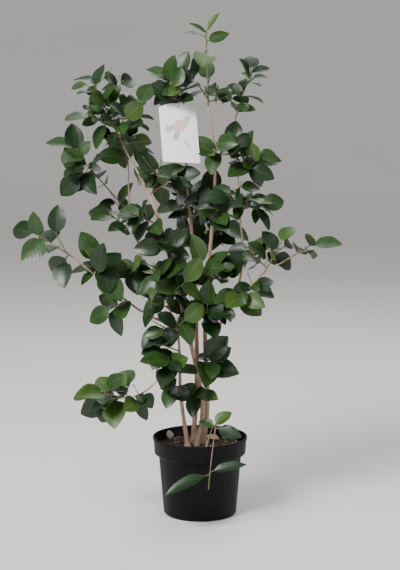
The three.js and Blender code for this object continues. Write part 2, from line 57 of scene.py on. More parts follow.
bpy.ops.object.camera_add(
    location=(0, -CAMERA_DISTANCE, CAMERA_HEIGHT),
    rotation=(math.pi / 2 - LOOK_DOWN, 0, 0),
)
camera = bpy.context.object
camera.data.sensor_width = SENSOR_WIDTH
camera.data.lens = FOCAL_LENGTH_PIXELS * SENSOR_WIDTH / PHOTO_HEIGHT
bpy.context.scene.camera = camera

# The studio: a round pale cove, whose floor sweeps up into its wall, under a pale sky, and three large soft
# lamps. The key lamp hangs high on the left, and a wide one above and behind draws a sheen along the leaves.
# The cove's sizes are in millimetres, as all that follow are, and the lamps' in metres.
MM = 0.001
COVE_FLOOR = 8000
COVE_SWEEP = 4000
COVE_SWEEP_STEPS = 12
COVE_HEIGHT = 9000
COVE_SIDES = 96
SURROUND_COLOUR = "#e6e8ea"
SURROUND_STRENGTH = 0.75
LAMPS = {
    "key_lamp": {"place": (-2.2, -2.6, 3.4), "size": 1.8, "watts": 300},
    "fill_lamp": {"place": (2.8, -2.2, 1.6), "size": 2.2, "watts": 34},
    "roof_lamp": {"place": (0.6, 2.2, 3.2), "size": 2.6, "watts": 60},
}
LAMP_TARGET = Vector((0, 0, 0.65))


def linear(colour):
    """Turns an sRGB hex colour into Blender's linear one."""
    channels = [int(colour[i:i + 2], 16) / 255 for i in (1, 3, 5)]
    return [c / 12.92 if c <= 0.04045 else ((c + 0.055) / 1.055) ** 2.4 for c in channels] + [1]


def link_up(node, links):
    """Links a node's sockets to their sources. A source that is a node gives its first output."""
    for socket, source in dict(links).items():
        output = source.outputs[0] if isinstance(source, bpy.types.Node) else source
        node.id_data.links.new(output, node.inputs[socket])


def add_node(tree, kind, settings=(), values=(), links=()):
    """Adds a node with its own settings, its sockets' values, and the sources of its other sockets."""
    node = tree.nodes.new("ShaderNode" + kind)
    for name, value in dict(settings).items():
        setattr(node, name, value)
    for socket, value in dict(values).items():
        node.inputs[socket].default_value = value
    link_up(node, links)
    return node


def scale_for(grain):
    """The scale that draws a pattern's grain so many millimetres wide."""
    return 1 / (grain * MM)


def new_material(name, **uniform):
    """A material with one shader. The keywords are its sockets' values, with _ for a space."""
    material = bpy.data.materials.new(name)
    material.use_nodes = True
    tree = material.node_tree
    shader = tree.nodes["Principled BSDF"]
    for socket, value in uniform.items():
        shader.inputs[socket.replace("_", " ")].default_value = value
    return material, tree, shader


def arc(middle, radius, start, end, steps):
    """Places (radius, height) along an arc in the upright plane, from one angle in degrees to another."""
    angles = [math.radians(start + (end - start) * i / steps) for i in range(steps + 1)]
    return [(middle[0] + radius * math.cos(a), middle[1] + radius * math.sin(a)) for a in angles]


def turn_body(name, outline, sides):
    """A body of revolution. A disc is extruded and scaled from ring to ring along the outline."""
    radius, height = outline[0]
    bpy.ops.object.select_all(action="DESELECT")
    bpy.ops.mesh.primitive_circle_add(
        vertices=sides, radius=radius * MM, fill_type="NGON", location=(0, 0, height * MM)
    )
    body = bpy.context.object
    body.name = name
    bpy.ops.object.mode_set(mode="EDIT")
    for (last_radius, last_height), (radius, height) in zip(outline, outline[1:]):
        rise = (0, 0, (height - last_height) * MM)
        bpy.ops.mesh.extrude_region_move(TRANSFORM_OT_translate={"value": rise})
        growth = radius / last_radius
        bpy.ops.transform.resize(value=(growth, growth, 1), center_override=(0, 0, height * MM))
    bpy.ops.object.mode_set(mode="OBJECT")
    bpy.ops.object.transform_apply(location=True, rotation=True, scale=True)
    return body


sweep = arc((COVE_FLOOR, COVE_SWEEP), COVE_SWEEP, -90, 0, COVE_SWEEP_STEPS)
floor = turn_body("studio_cove", [*sweep, (COVE_FLOOR + COVE_SWEEP, COVE_HEIGHT)], COVE_SIDES)
bpy.ops.object.mode_set(mode="EDIT")
bpy.ops.mesh.delete(type="ONLY_FACE")
bpy.ops.mesh.select_all(action="SELECT")
bpy.ops.mesh.flip_normals()
bpy.ops.object.mode_set(mode="OBJECT")
bpy.ops.object.shade_smooth()

# Painted board: pale, matt and even, with a barely cloudy tone.
floor_paint, tree, shader = new_material("matt painted board", Roughness=0.9)
where = add_node(tree, "TexCoord").outputs["Object"]
cloudy = add_node(tree, "TexNoise", values={"Scale": scale_for(650), "Detail": 3}, links={"Vector": where})
tone = add_node(
    tree, "MixRGB",
    values={"Color1": linear("#d9d6d2"), "Color2": linear("#dedcd9")},
    links={"Fac": cloudy},
)
link_up(shader, {"Base Color": tone})
floor.data.materials.append(floor_paint)

surround = bpy.data.worlds.new("pale surround")
surround.use_nodes = True
surround.node_tree.nodes["Background"].inputs["Color"].default_value = linear(SURROUND_COLOUR)
surround.node_tree.nodes["Background"].inputs["Strength"].default_value = SURROUND_STRENGTH
bpy.context.scene.world = surround

for name, lamp in LAMPS.items():
    place = Vector(lamp["place"])
    aim = (LAMP_TARGET - place).to_track_quat("-Z", "Y").to_euler()
    bpy.ops.object.light_add(type="AREA", location=place, rotation=aim)
    light = bpy.context.object
    light.name = name
    light.data.shape = "DISK"
    light.data.size = lamp["size"]
    light.data.energy = lamp["watts"]

# The pot is blow moulded from black polyethylene, with a thin wall, a deep band and a small lip at its rim.
# The underside is pushed up in the middle, so that it stands on a ring, and has six drain holes. The waist
# and the band's foot are places (radius, height) on the outside of its wall.
POT_SIDES = 128
POT_WALL = 2.4
POT_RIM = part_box("pot")[1].x / MM
POT_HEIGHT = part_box("pot")[1].z / MM
POT_BASE = 97
BASE_ROUNDING = 8
BASE_CORNER = 9
POT_WAIST = (109, 153)
WAIST_ROUNDING = 5
POT_BAND_FOOT = (121, 167)
BAND_ROUNDING = 3
BAND_TAPER = 0.6
POT_LIP = 1.6
POT_LIP_DEPTH = 7
LIP_ROUNDING = 1.2
INNER_LIP_ROUNDING = 1
PUSH_UP = 3
PUSH_UP_RADIUS = 80
STANDING_RADIUS = 84
DRAIN_HOLES = 6
DRAIN_RADIUS = 7
DRAIN_RING = 68
DRILL_SIDES = 32
DRILL_LENGTH = 30
EDGE_ROUNDING = 0.5
POT_EDGE_ANGLE = 38
POT_SMOOTH_ANGLE = 40


def apply_modifier(piece, kind, **settings):
    modifier = piece.modifiers.new(kind, kind)
    for name, value in settings.items():
        setattr(modifier, name, value)
    bpy.context.view_layer.objects.active = piece
    bpy.ops.object.modifier_apply(modifier=modifier.name)


def select_only(*pieces):
    """Leaves these pieces selected and no others, with the first one active."""
    bpy.ops.object.select_all(action="DESELECT")
    for piece in pieces:
        piece.select_set(True)
    bpy.context.view_layer.objects.active = pieces[0]


def lay_over(base, colour, pattern, ends, most=1):
    """Lays a colour over a base, which is a colour or a node. The first of the pattern's two ends is where it
    begins, and from the second on it covers the share "most"."""
    tree = pattern.id_data
    mask = add_node(
        tree, "MapRange",
        values={"From Min": ends[0], "From Max": ends[1], "To Min": 0, "To Max": most},
        links={"Value": pattern},
    )
    layered = add_node(tree, "MixRGB", values={"Color2": linear(colour)}, links={"Fac": mask})
    if isinstance(base, str):
        layered.inputs["Color1"].default_value = linear(base)
    else:
        link_up(layered, {"Color1": base})
    return layered


def finish_skin(shader, colour, pattern, roughness, relief=None, ends=(0.3, 0.7)):
    """Gives a skin its colour, its roughness at a pattern's two ends, and its relief: heights, a strength and
    a depth in millimetres. Returns the relief's node."""
    tree = shader.id_data
    dullness = add_node(
        tree, "MapRange",
        values={"From Min": ends[0], "From Max": ends[1], "To Min": roughness[0], "To Max": roughness[1]},
        links={"Value": pattern},
    )
    link_up(shader, {"Base Color": colour, "Roughness": dullness})
    if relief:
        heights, strength, depth = relief
        bump = add_node(
            tree, "Bump", values={"Strength": strength, "Distance": depth * MM}, links={"Height": heights}
        )
        link_up(shader, {"Normal": bump})
        return bump


outside = [
    (PUSH_UP_RADIUS, PUSH_UP), (STANDING_RADIUS, 0), (POT_BASE - BASE_ROUNDING, 0),
    *arc((POT_BASE - BASE_ROUNDING, BASE_ROUNDING), BASE_ROUNDING, -60, -10, 4),
    POT_WAIST,
    *arc((POT_WAIST[0] + WAIST_ROUNDING, POT_WAIST[1] + 1), WAIST_ROUNDING, 165, 100, 3),
    *arc((POT_BAND_FOOT[0] - BAND_ROUNDING, POT_BAND_FOOT[1] - 1), BAND_ROUNDING, -60, 0, 3),
    (POT_RIM - POT_LIP - BAND_TAPER, POT_HEIGHT - POT_LIP_DEPTH - POT_LIP),
    (POT_RIM, POT_HEIGHT - POT_LIP_DEPTH),
    *arc((POT_RIM - LIP_ROUNDING, POT_HEIGHT - LIP_ROUNDING), LIP_ROUNDING, 0, 90, 3),
]
inner_lip = (POT_RIM - POT_LIP - POT_WALL + INNER_LIP_ROUNDING, POT_HEIGHT - INNER_LIP_ROUNDING)
inside = [
    *arc(inner_lip, INNER_LIP_ROUNDING, 90, 180, 3),
    (POT_BAND_FOOT[0] - POT_WALL, POT_BAND_FOOT[1]),
    (POT_WAIST[0] - POT_WALL, POT_WAIST[1]),
    (POT_BASE - POT_WALL - 1, BASE_CORNER),
    (POT_BASE - BASE_CORNER, POT_WALL),
    (STANDING_RADIUS, POT_WALL),
    (PUSH_UP_RADIUS - 1, PUSH_UP + POT_WALL),
]
pot = turn_body("nursery_pot", outside + inside, POT_SIDES)

bpy.ops.object.select_all(action="DESELECT")
for i in range(DRAIN_HOLES):
    angle = 2 * math.pi * i / DRAIN_HOLES
    bpy.ops.mesh.primitive_cylinder_add(
        vertices=DRILL_SIDES, radius=DRAIN_RADIUS * MM, depth=DRILL_LENGTH * MM,
        location=(DRAIN_RING * MM * math.cos(angle), DRAIN_RING * MM * math.sin(angle), 0),
    )
    drill = bpy.context.object
    apply_modifier(pot, "BOOLEAN", operation="DIFFERENCE", object=drill, solver="EXACT")
    bpy.data.objects.remove(drill)
apply_modifier(
    pot, "BEVEL", width=EDGE_ROUNDING * MM, segments=2,
    limit_method="ANGLE", angle_limit=math.radians(POT_EDGE_ANGLE),
)

# Black polyethylene, blow moulded: a satin black with a faint blue cast and a fine orange peel, drawn twice
# its real width so that it shows. Dried splashes and dust dull it in runs that follow the wall.
black_plastic, tree, shader = new_material("black polyethylene, blow moulded", Specular_IOR_Level=0.15)
where = add_node(tree, "TexCoord").outputs["Object"]
tall = add_node(
    tree, "Mapping", values={"Scale": [scale_for(size) for size in (26, 26, 200)]}, links={"Vector": where}
)
runs = add_node(tree, "TexNoise", values={"Scale": 1, "Detail": 5, "Roughness": 0.6}, links={"Vector": tall})
specks = add_node(tree, "TexNoise", values={"Scale": scale_for(3.8), "Detail": 2}, links={"Vector": where})
peel = add_node(tree, "TexNoise", values={"Scale": scale_for(2.4), "Detail": 2}, links={"Vector": where})
dusty = lay_over("#040508", "#1b1c1f", runs, ends=(0.5, 0.82), most=0.4)
splashed = lay_over(dusty, "#2c2823", specks, ends=(0.66, 0.76), most=0.35)
finish_skin(shader, splashed, runs, roughness=(0.4, 0.66), relief=(peel, 0.12, 0.4), ends=(0.3, 0.75))
pot.data.materials.append(black_plastic)
select_only(pot)
bpy.ops.object.shade_smooth_by_angle(angle=math.radians(POT_SMOOTH_ANGLE))
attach(pot, "root")
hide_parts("pot")

# The compost is composted bark and peat, watered down to a loose crust, up to 22 mm below the pot's rim. Its
# body is turned like the pot's, and two kinds of noise lift and sink its surface, each with its grain's size
# and its height.
SOIL_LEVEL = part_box("soil")[1].z / MM
SOIL_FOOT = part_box("soil")[0].z / MM
SOIL_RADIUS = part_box("soil")[1].x / MM
SOIL_FLAT_RADIUS = 62
SOIL_EDGE_DROP = 6
SOIL_SINK = 1.5
SOIL_RING = 2
SOIL_SIDES = 192
SOIL_FLOOR_GAP = 2
SOIL_WALL_GAP = 1
LUMPS = {"CLOUDS": (22, 5), "STUCCI": (5, 2.4)}
edge_rings = int((SOIL_RADIUS - SOIL_FLAT_RADIUS) / SOIL_RING)
flat_rings = int(SOIL_FLAT_RADIUS / SOIL_RING) - 1
compost = turn_body("compost", [
    (STANDING_RADIUS, SOIL_FOOT + SOIL_FLOOR_GAP),
    (POT_WAIST[0] - POT_WALL - SOIL_WALL_GAP, POT_WAIST[1]),
    (POT_BAND_FOOT[0] - POT_WALL - SOIL_WALL_GAP, POT_BAND_FOOT[1]),
    *[
        (SOIL_RADIUS - SOIL_RING * i, SOIL_LEVEL - SOIL_EDGE_DROP * (1 - i / edge_rings))
        for i in range(edge_rings)
    ],
    *[(SOIL_FLAT_RADIUS - SOIL_RING * i, SOIL_LEVEL - SOIL_SINK) for i in range(flat_rings)],
], SOIL_SIDES)
lowest_surface = (SOIL_LEVEL - SOIL_EDGE_DROP - 1) * MM
surface = compost.vertex_groups.new(name="surface")
surface.add([v.index for v in compost.data.vertices if v.co.z > lowest_surface], 1, "REPLACE")
for kind, (size, height) in LUMPS.items():
    texture = bpy.data.textures.new("lumps " + kind.lower(), kind)
    texture.noise_scale = size * MM
    apply_modifier(
        compost, "DISPLACE", texture=texture, vertex_group="surface", direction="Z",
        strength=height * MM, mid_level=0.5, texture_coords="LOCAL",
    )

# Bark compost: dark brown, nearly black where it is wet, with paler fibres. It is rough and dull all over.
crumbs, tree, shader = new_material("bark compost", Specular_IOR_Level=0.25)
where = add_node(tree, "TexCoord").outputs["Object"]
grain = add_node(
    tree, "TexNoise", values={"Scale": scale_for(3.3), "Detail": 6, "Roughness": 0.7}, links={"Vector": where}
)
patches = add_node(tree, "TexNoise", values={"Scale": scale_for(22), "Detail": 3}, links={"Vector": where})
bits = add_node(tree, "TexVoronoi", values={"Scale": scale_for(5.3)}, links={"Vector": where})
wet = add_node(
    tree, "MixRGB",
    values={"Color1": linear("#110c08"), "Color2": linear("#30231a")},
    links={"Fac": patches},
)
fibres = lay_over(wet, "#54412f", grain, ends=(0.45, 0.75), most=0.8)
heights = add_node(tree, "Math", settings={"operation": "ADD"}, links={0: grain, 1: bits})
finish_skin(shader, fibres, grain, roughness=(0.78, 0.98), relief=(heights, 0.9, 1.5))
compost.data.materials.append(crumbs)
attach(compost, "root")
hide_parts("soil")

# Four stems and a thin rim shoot rise from the root ball, and six boughs leave them, all tapering. They are
# grown as tubes with a ring at each old leaf scar, then fused, so that forks and feet flow together. A route
# starts at the foot, in the compost, or on the limb that it comes from, at the height where it leaves.
UP = Vector((0, 0, 1))
ROOT_DEPTH = 12
LIMBS = {
    "stem_left": {
        "foot": (-12, -14),
        "route": [(5, -18, 310), (-62, -45, 622), (-120, -55, 827), (-196, -45, 975)],
        "radii": (8, 2.4),
    },
    "stem_centre": {
        "foot": (6, 12),
        "route": [(19, 14, 300), (14, 18, 520), (39, 12, 900), (21, 4, 1075)],
        "radii": (8.6, 2.4),
    },
    "stem_back": {
        "foot": (-18, 22),
        "route": [(-8, 40, 400), (-18, 62, 690), (-36, 46, 900), (-31, 14, 1041)],
        "radii": (7.2, 2.4),
    },
    "stem_front": {
        "foot": (-30, -36),
        "route": [(-50, -56, 330), (-55, -76, 480), (-78, -82, 560)],
        "radii": (6, 2.2),
    },
    "bough_right_tall": {
        "from": "stem_centre",
        "leaves": 415,
        "route": [(46, -10, 496), (86, -22, 562), (111, -26, 680), (103, -20, 801), (90, 0, 1040)],
        "radii": (4.6, 2.1),
    },
    "bough_right_low": {
        "from": "bough_right_tall",
        "leaves": 565,
        "route": [(130, -45, 614), (172, -60, 656), (213, -70, 680)],
        "radii": (3, 2),
    },
    "bough_left_tall": {
        "from": "stem_left",
        "leaves": 455,
        "route": [(-90, 16, 520), (-143, 36, 590), (-158, 48, 690), (-183, 48, 800), (-188, 40, 925)],
        "radii": (3.8, 2),
    },
    "bough_left_low": {
        "from": "stem_left",
        "leaves": 490,
        "route": [(-147, -60, 548), (-235, -85, 620), (-322, -108, 697)],
        "radii": (3.8, 2),
    },
    "bough_low_left": {
        "from": "stem_front",
        "leaves": 425,
        "route": [(-97, -76, 384), (-140, -84, 346), (-180, -88, 328)],
        "radii": (2.6, 1.8),
    },
    "bough_back": {
        "from": "stem_centre",
        "leaves": 470,
        "route": [(30, 110, 560), (24, 190, 680)],
        "radii": (3.6, 2),
    },
    "bough_rim": {
        "foot": (14, -44),
        "route": [(30, -70, 240), (42, -92, 262)],
        "radii": (2.4, 1.7),
    },
}
ROOT_FLARE = 3.2
ROOT_FLARE_HEIGHT = 16
BARK_STEP = 1.6
TUBE_ROUNDNESS = 5
SCAR_SPACING = 34
SCAR_OFFSET = (0.3, 0.8)
SCAR_HEIGHT = 0.12
SCAR_WIDTH = 1.8
SCAR_SEED = 5
BARK_GRAIN = 1.4
BARK_SMOOTHING = {"factor": 0.5, "iterations": 3}
BARK_RELIEF = {"furrows": (4, 0.7), "bosses": (18, 1.4)}


def dice_of(seed):
    """The same seed always gives the same row of throws."""
    state = [seed]

    def dice(low, high):
        state[0] = (state[0] * 1664525 + 1013904223) % 2 ** 32
        return low + (high - low) * (state[0] / 2 ** 32)

    dice(0, 1)
    return dice


def blend(ends, share):
    return ends[0] + (ends[1] - ends[0]) * share


def smooth_line(places):
    """A smooth line through the places, as a function of the share of it that is passed."""
    padded = [2 * places[0] - places[1], *places, 2 * places[-1] - places[-2]]
    spans = len(places) - 1

    def place(share):
        span = min(int(share * spans), spans - 1)
        t = share * spans - span
        before, start, end, after = padded[span:span + 4]
        leave, arrive = (end - before) / 2, (after - start) / 2
        bend = 3 * (end - start) - 2 * leave - arrive
        twist = 2 * (start - end) + leave + arrive
        return start + t * leave + t * t * bend + t ** 3 * twist

    return place


def place_at_height(line, height):
    """The place where a line first passes a height, found by halving the stretch that holds it."""
    halvings = 30
    rises = line(1).z > line(0).z
    low, high = 0, 1
    for _ in range(halvings):
        middle = (low + high) / 2
        if (line(middle).z > height) == rises:
            high = middle
        else:
            low = middle
    return line(low)


limb_lines = {}
for name, limb in LIMBS.items():
    if "from" in limb:
        start = place_at_height(limb_lines[limb["from"]], limb["leaves"])
    else:
        start = Vector((*limb["foot"], SOIL_LEVEL - ROOT_DEPTH))
    limb_lines[name] = smooth_line([start, *map(Vector, limb["route"])])


def limb_tube(name, limb, line, dice):
    """A tube along a limb, with its taper, its flared foot and a ring at each leaf scar."""
    rough_steps = 40
    rough = [line(i / rough_steps) for i in range(rough_steps + 1)]
    length = sum((b - a).length for a, b in zip(rough, rough[1:]))
    steps = int(length / BARK_STEP)
    scars = [SCAR_SPACING * (i + dice(*SCAR_OFFSET)) for i in range(int(length / SCAR_SPACING))]
    curve = bpy.data.curves.new(name + "_tube", "CURVE")
    curve.dimensions = "3D"
    curve.bevel_depth = MM
    curve.bevel_resolution = TUBE_ROUNDNESS
    curve.use_fill_caps = True
    spline = curve.splines.new("POLY")
    spline.points.add(steps)
    for i, point in enumerate(spline.points):
        share = i / steps
        place = line(share)
        from_scars = [(share * length - scar) / SCAR_WIDTH for scar in scars]
        swelling = sum(SCAR_HEIGHT * math.exp(-gap ** 2) for gap in from_scars)
        radius = blend(limb["radii"], share) * (1 + swelling)
        if "foot" in limb:
            radius += ROOT_FLARE * math.exp(-max(place.z - SOIL_LEVEL, 0) / ROOT_FLARE_HEIGHT)
        point.co = (*(place * MM), 1)
        point.radius = radius
    tube = bpy.data.objects.new(name + "_tube", curve)
    bpy.context.scene.collection.objects.link(tube)
    return tube


scar_dice = dice_of(SCAR_SEED)
tubes = [limb_tube(name, limb, limb_lines[name], scar_dice) for name, limb in LIMBS.items()]
select_only(*tubes)
bpy.ops.object.convert(target="MESH")
bpy.ops.object.join()
bark = bpy.context.object
bark.name = "stems_and_boughs"
apply_modifier(bark, "REMESH", mode="VOXEL", voxel_size=BARK_GRAIN * MM)
apply_modifier(bark, "SMOOTH", **BARK_SMOOTHING)
for name, (size, height) in BARK_RELIEF.items():
    texture = bpy.data.textures.new("bark " + name, "CLOUDS")
    texture.noise_scale = size * MM
    apply_modifier(
        bark, "DISPLACE", texture=texture, strength=height * MM, mid_level=0.5, texture_coords="LOCAL"
    )
bpy.ops.object.shade_smooth()

# Camellia bark: thin, smooth, matt and pale tan with a pinkish cast, greyer where it is old. Long cracks run
# up it, drawn wider than they are so that they show, and the breathing pores are pale flecks across it.
bark_skin, tree, shader = new_material("camellia bark", Specular_IOR_Level=0.3)
where = add_node(tree, "TexCoord").outputs["Object"]
upright = add_node(
    tree, "Mapping", values={"Scale": [scale_for(size) for size in (2.4, 2.4, 18)]}, links={"Vector": where}
)
cracks = add_node(
    tree, "TexNoise", values={"Scale": 1, "Detail": 5, "Roughness": 0.65}, links={"Vector": upright}
)
age = add_node(tree, "TexNoise", values={"Scale": scale_for(38), "Detail": 4}, links={"Vector": where})
level = add_node(
    tree, "Mapping", values={"Scale": [scale_for(size) for size in (6.2, 6.2, 1.6)]}, links={"Vector": where}
)
pores = add_node(tree, "TexNoise", values={"Scale": 1, "Detail": 1}, links={"Vector": level})
tan = lay_over("#b4947c", "#93806f", age, ends=(0.35, 0.68))
cracked = lay_over(tan, "#5c4638", cracks, ends=(0.52, 0.72), most=0.75)
flecked = lay_over(cracked, "#d3c0ae", pores, ends=(0.62, 0.7), most=0.6)
furrows = finish_skin(shader, flecked, cracks, roughness=(0.68, 0.9), relief=(cracks, 0.7, 0.6))
furrows.invert = True
bark.data.materials.clear()
bark.data.materials.append(bark_skin)
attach(bark, "root")
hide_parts(*LIMBS)

# The mulch is screened pine bark: flat chips with broken edges and worn tops, strewn on the compost. Most are
# brown, and some, along the front of the rim above all, have weathered to a pale grey. A chip's breadth is a
# share of its length. A layer has its share of the outline and of the thickness.
CHIP_COUNT = 520
CHIP_LENGTH = (4, 13)
CHIP_BREADTH = (0.4, 0.75)
CHIP_THICKNESS = (1.2, 2.8)
CHIP_CORNERS = 7
CHIP_UNEVENNESS = (0.7, 1.15)
CHIP_LAYERS = [(0.9, -0.5), (1, 0), (0.72, 0.5)]
CHIP_TILT = 28
CHIP_LIFT = 0.3
CHIP_STEM_GAP = 9
CHIP_SEED = 11
STREWN_AREA = 0.93
FRONT_CHIPS = 90
FRONT_BEARINGS = (215, 325)
FRONT_RING = (0.82, 0.97)
PALE_CHIPS = 0.16
PALE_CHIPS_IN_FRONT = 0.5
REDDISH_CHIPS = 0.4
CHIP_BARKS = {
    "pine bark chips, dark": ("#1e140d", "#463020"),
    "pine bark chips, reddish": ("#3a2418", "#6e4d36"),
    "pine bark chips, weathered": ("#6f675c", "#aca295"),
}
DARK, REDDISH, WEATHERED = range(len(CHIP_BARKS))


def join_faces(name, places, faces, looks, materials):
    """A mesh of many small shapes in one piece. "looks" is the place of each face's material in the list."""
    mesh = bpy.data.meshes.new(name)
    mesh.from_pydata([tuple(p) for p in places], [], [tuple(f) for f in faces])
    for material in materials:
        mesh.materials.append(material)
    mesh.polygons.foreach_set("material_index", np.array(looks, dtype=np.int32))
    mesh.update()
    piece = bpy.data.objects.new(name, mesh)
    bpy.context.scene.collection.objects.link(piece)
    return piece


def chip_faces(first):
    """A chip's faces: its underside, the sides of its layers and its top."""
    rings = [[first + CHIP_CORNERS * row + i for i in range(CHIP_CORNERS)] for row in range(len(CHIP_LAYERS))]
    sides = [
        (low[i], low[(i + 1) % CHIP_CORNERS], high[(i + 1) % CHIP_CORNERS], high[i])
        for low, high in zip(rings, rings[1:])
        for i in range(CHIP_CORNERS)
    ]
    return [tuple(reversed(rings[0])), *sides, tuple(rings[-1])]


def surface_of(piece):
    """A piece's surface, which can tell what is near, crosses or lies under."""
    mesh = piece.data
    return BVHTree.FromPolygons([v.co for v in mesh.vertices], [tuple(p.vertices) for p in mesh.polygons])


def ground_under(x, y):
    """The place on the compost's surface under a place in the pot."""
    above = Vector((x * MM, y * MM, 1))
    return ground.ray_cast(above, -UP)[0] / MM


def grained_material(name, tones, noise, roughness, relief=None, **uniform):
    """A material whose two tones, roughness and relief follow one grain. Relief is a strength and a depth."""
    material, tree, shader = new_material(name, **uniform)
    where = add_node(tree, "TexCoord").outputs["Object"]
    grain = add_node(tree, "TexNoise", values=noise, links={"Vector": where})
    tone = add_node(
        tree, "MixRGB",
        values={"Color1": linear(tones[0]), "Color2": linear(tones[1])},
        links={"Fac": grain},
    )
    finish_skin(shader, tone, grain, roughness, (grain, *relief) if relief else None)
    return material


chip_dice = dice_of(CHIP_SEED)
ground = surface_of(compost)
feet = [Vector((*limb["foot"], 0)) for limb in LIMBS.values() if "foot" in limb]
chip_places, chip_polygons, chip_looks = [], [], []
for i in range(CHIP_COUNT):
    in_front = i < FRONT_CHIPS
    bearing = math.radians(chip_dice(*(FRONT_BEARINGS if in_front else (0, 360))))
    radius = SOIL_RADIUS * (chip_dice(*FRONT_RING) if in_front else math.sqrt(chip_dice(0, STREWN_AREA)))
    spot = Vector((radius * math.cos(bearing), radius * math.sin(bearing), 0))
    length = chip_dice(*CHIP_LENGTH)
    breadth = length * chip_dice(*CHIP_BREADTH)
    thick = chip_dice(*CHIP_THICKNESS)
    tilt = Matrix.Rotation(math.radians(chip_dice(-CHIP_TILT, CHIP_TILT)), 3, "X")
    yaw = Matrix.Rotation(chip_dice(0, 2 * math.pi), 3, "Z")
    uneven = [chip_dice(*CHIP_UNEVENNESS) for _ in range(CHIP_CORNERS)]
    is_pale = chip_dice(0, 1) < (PALE_CHIPS_IN_FRONT if in_front else PALE_CHIPS)
    is_reddish = chip_dice(0, 1) < REDDISH_CHIPS
    if min((spot - foot).length for foot in feet) < CHIP_STEM_GAP:
        continue
    centre = ground_under(spot.x, spot.y) + UP * (thick * CHIP_LIFT)
    faces = chip_faces(len(chip_places))
    chip_polygons.extend(faces)
    for spread, layer in CHIP_LAYERS:
        for corner, reach in enumerate(uneven):
            angle = 2 * math.pi * corner / CHIP_CORNERS
            local = Vector((
                length / 2 * spread * reach * math.cos(angle),
                breadth / 2 * spread * reach * math.sin(angle),
                thick * layer,
            ))
            chip_places.append((centre + yaw @ (tilt @ local)) * MM)
    chip_looks.extend([WEATHERED if is_pale else REDDISH if is_reddish else DARK] * len(faces))

# Pine bark, broken and screened: dull layers of brown, each chip in its own tone, with a splintery grain.
mulch = join_faces("bark_mulch", chip_places, chip_polygons, chip_looks, [
    grained_material(
        name, tones, {"Scale": scale_for(7.7), "Detail": 5, "Roughness": 0.7},
        roughness=(0.75, 0.95), relief=(0.6, 0.5), Specular_IOR_Level=0.25,
    )
    for name, tones in CHIP_BARKS.items()
])
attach(mulch, "root")

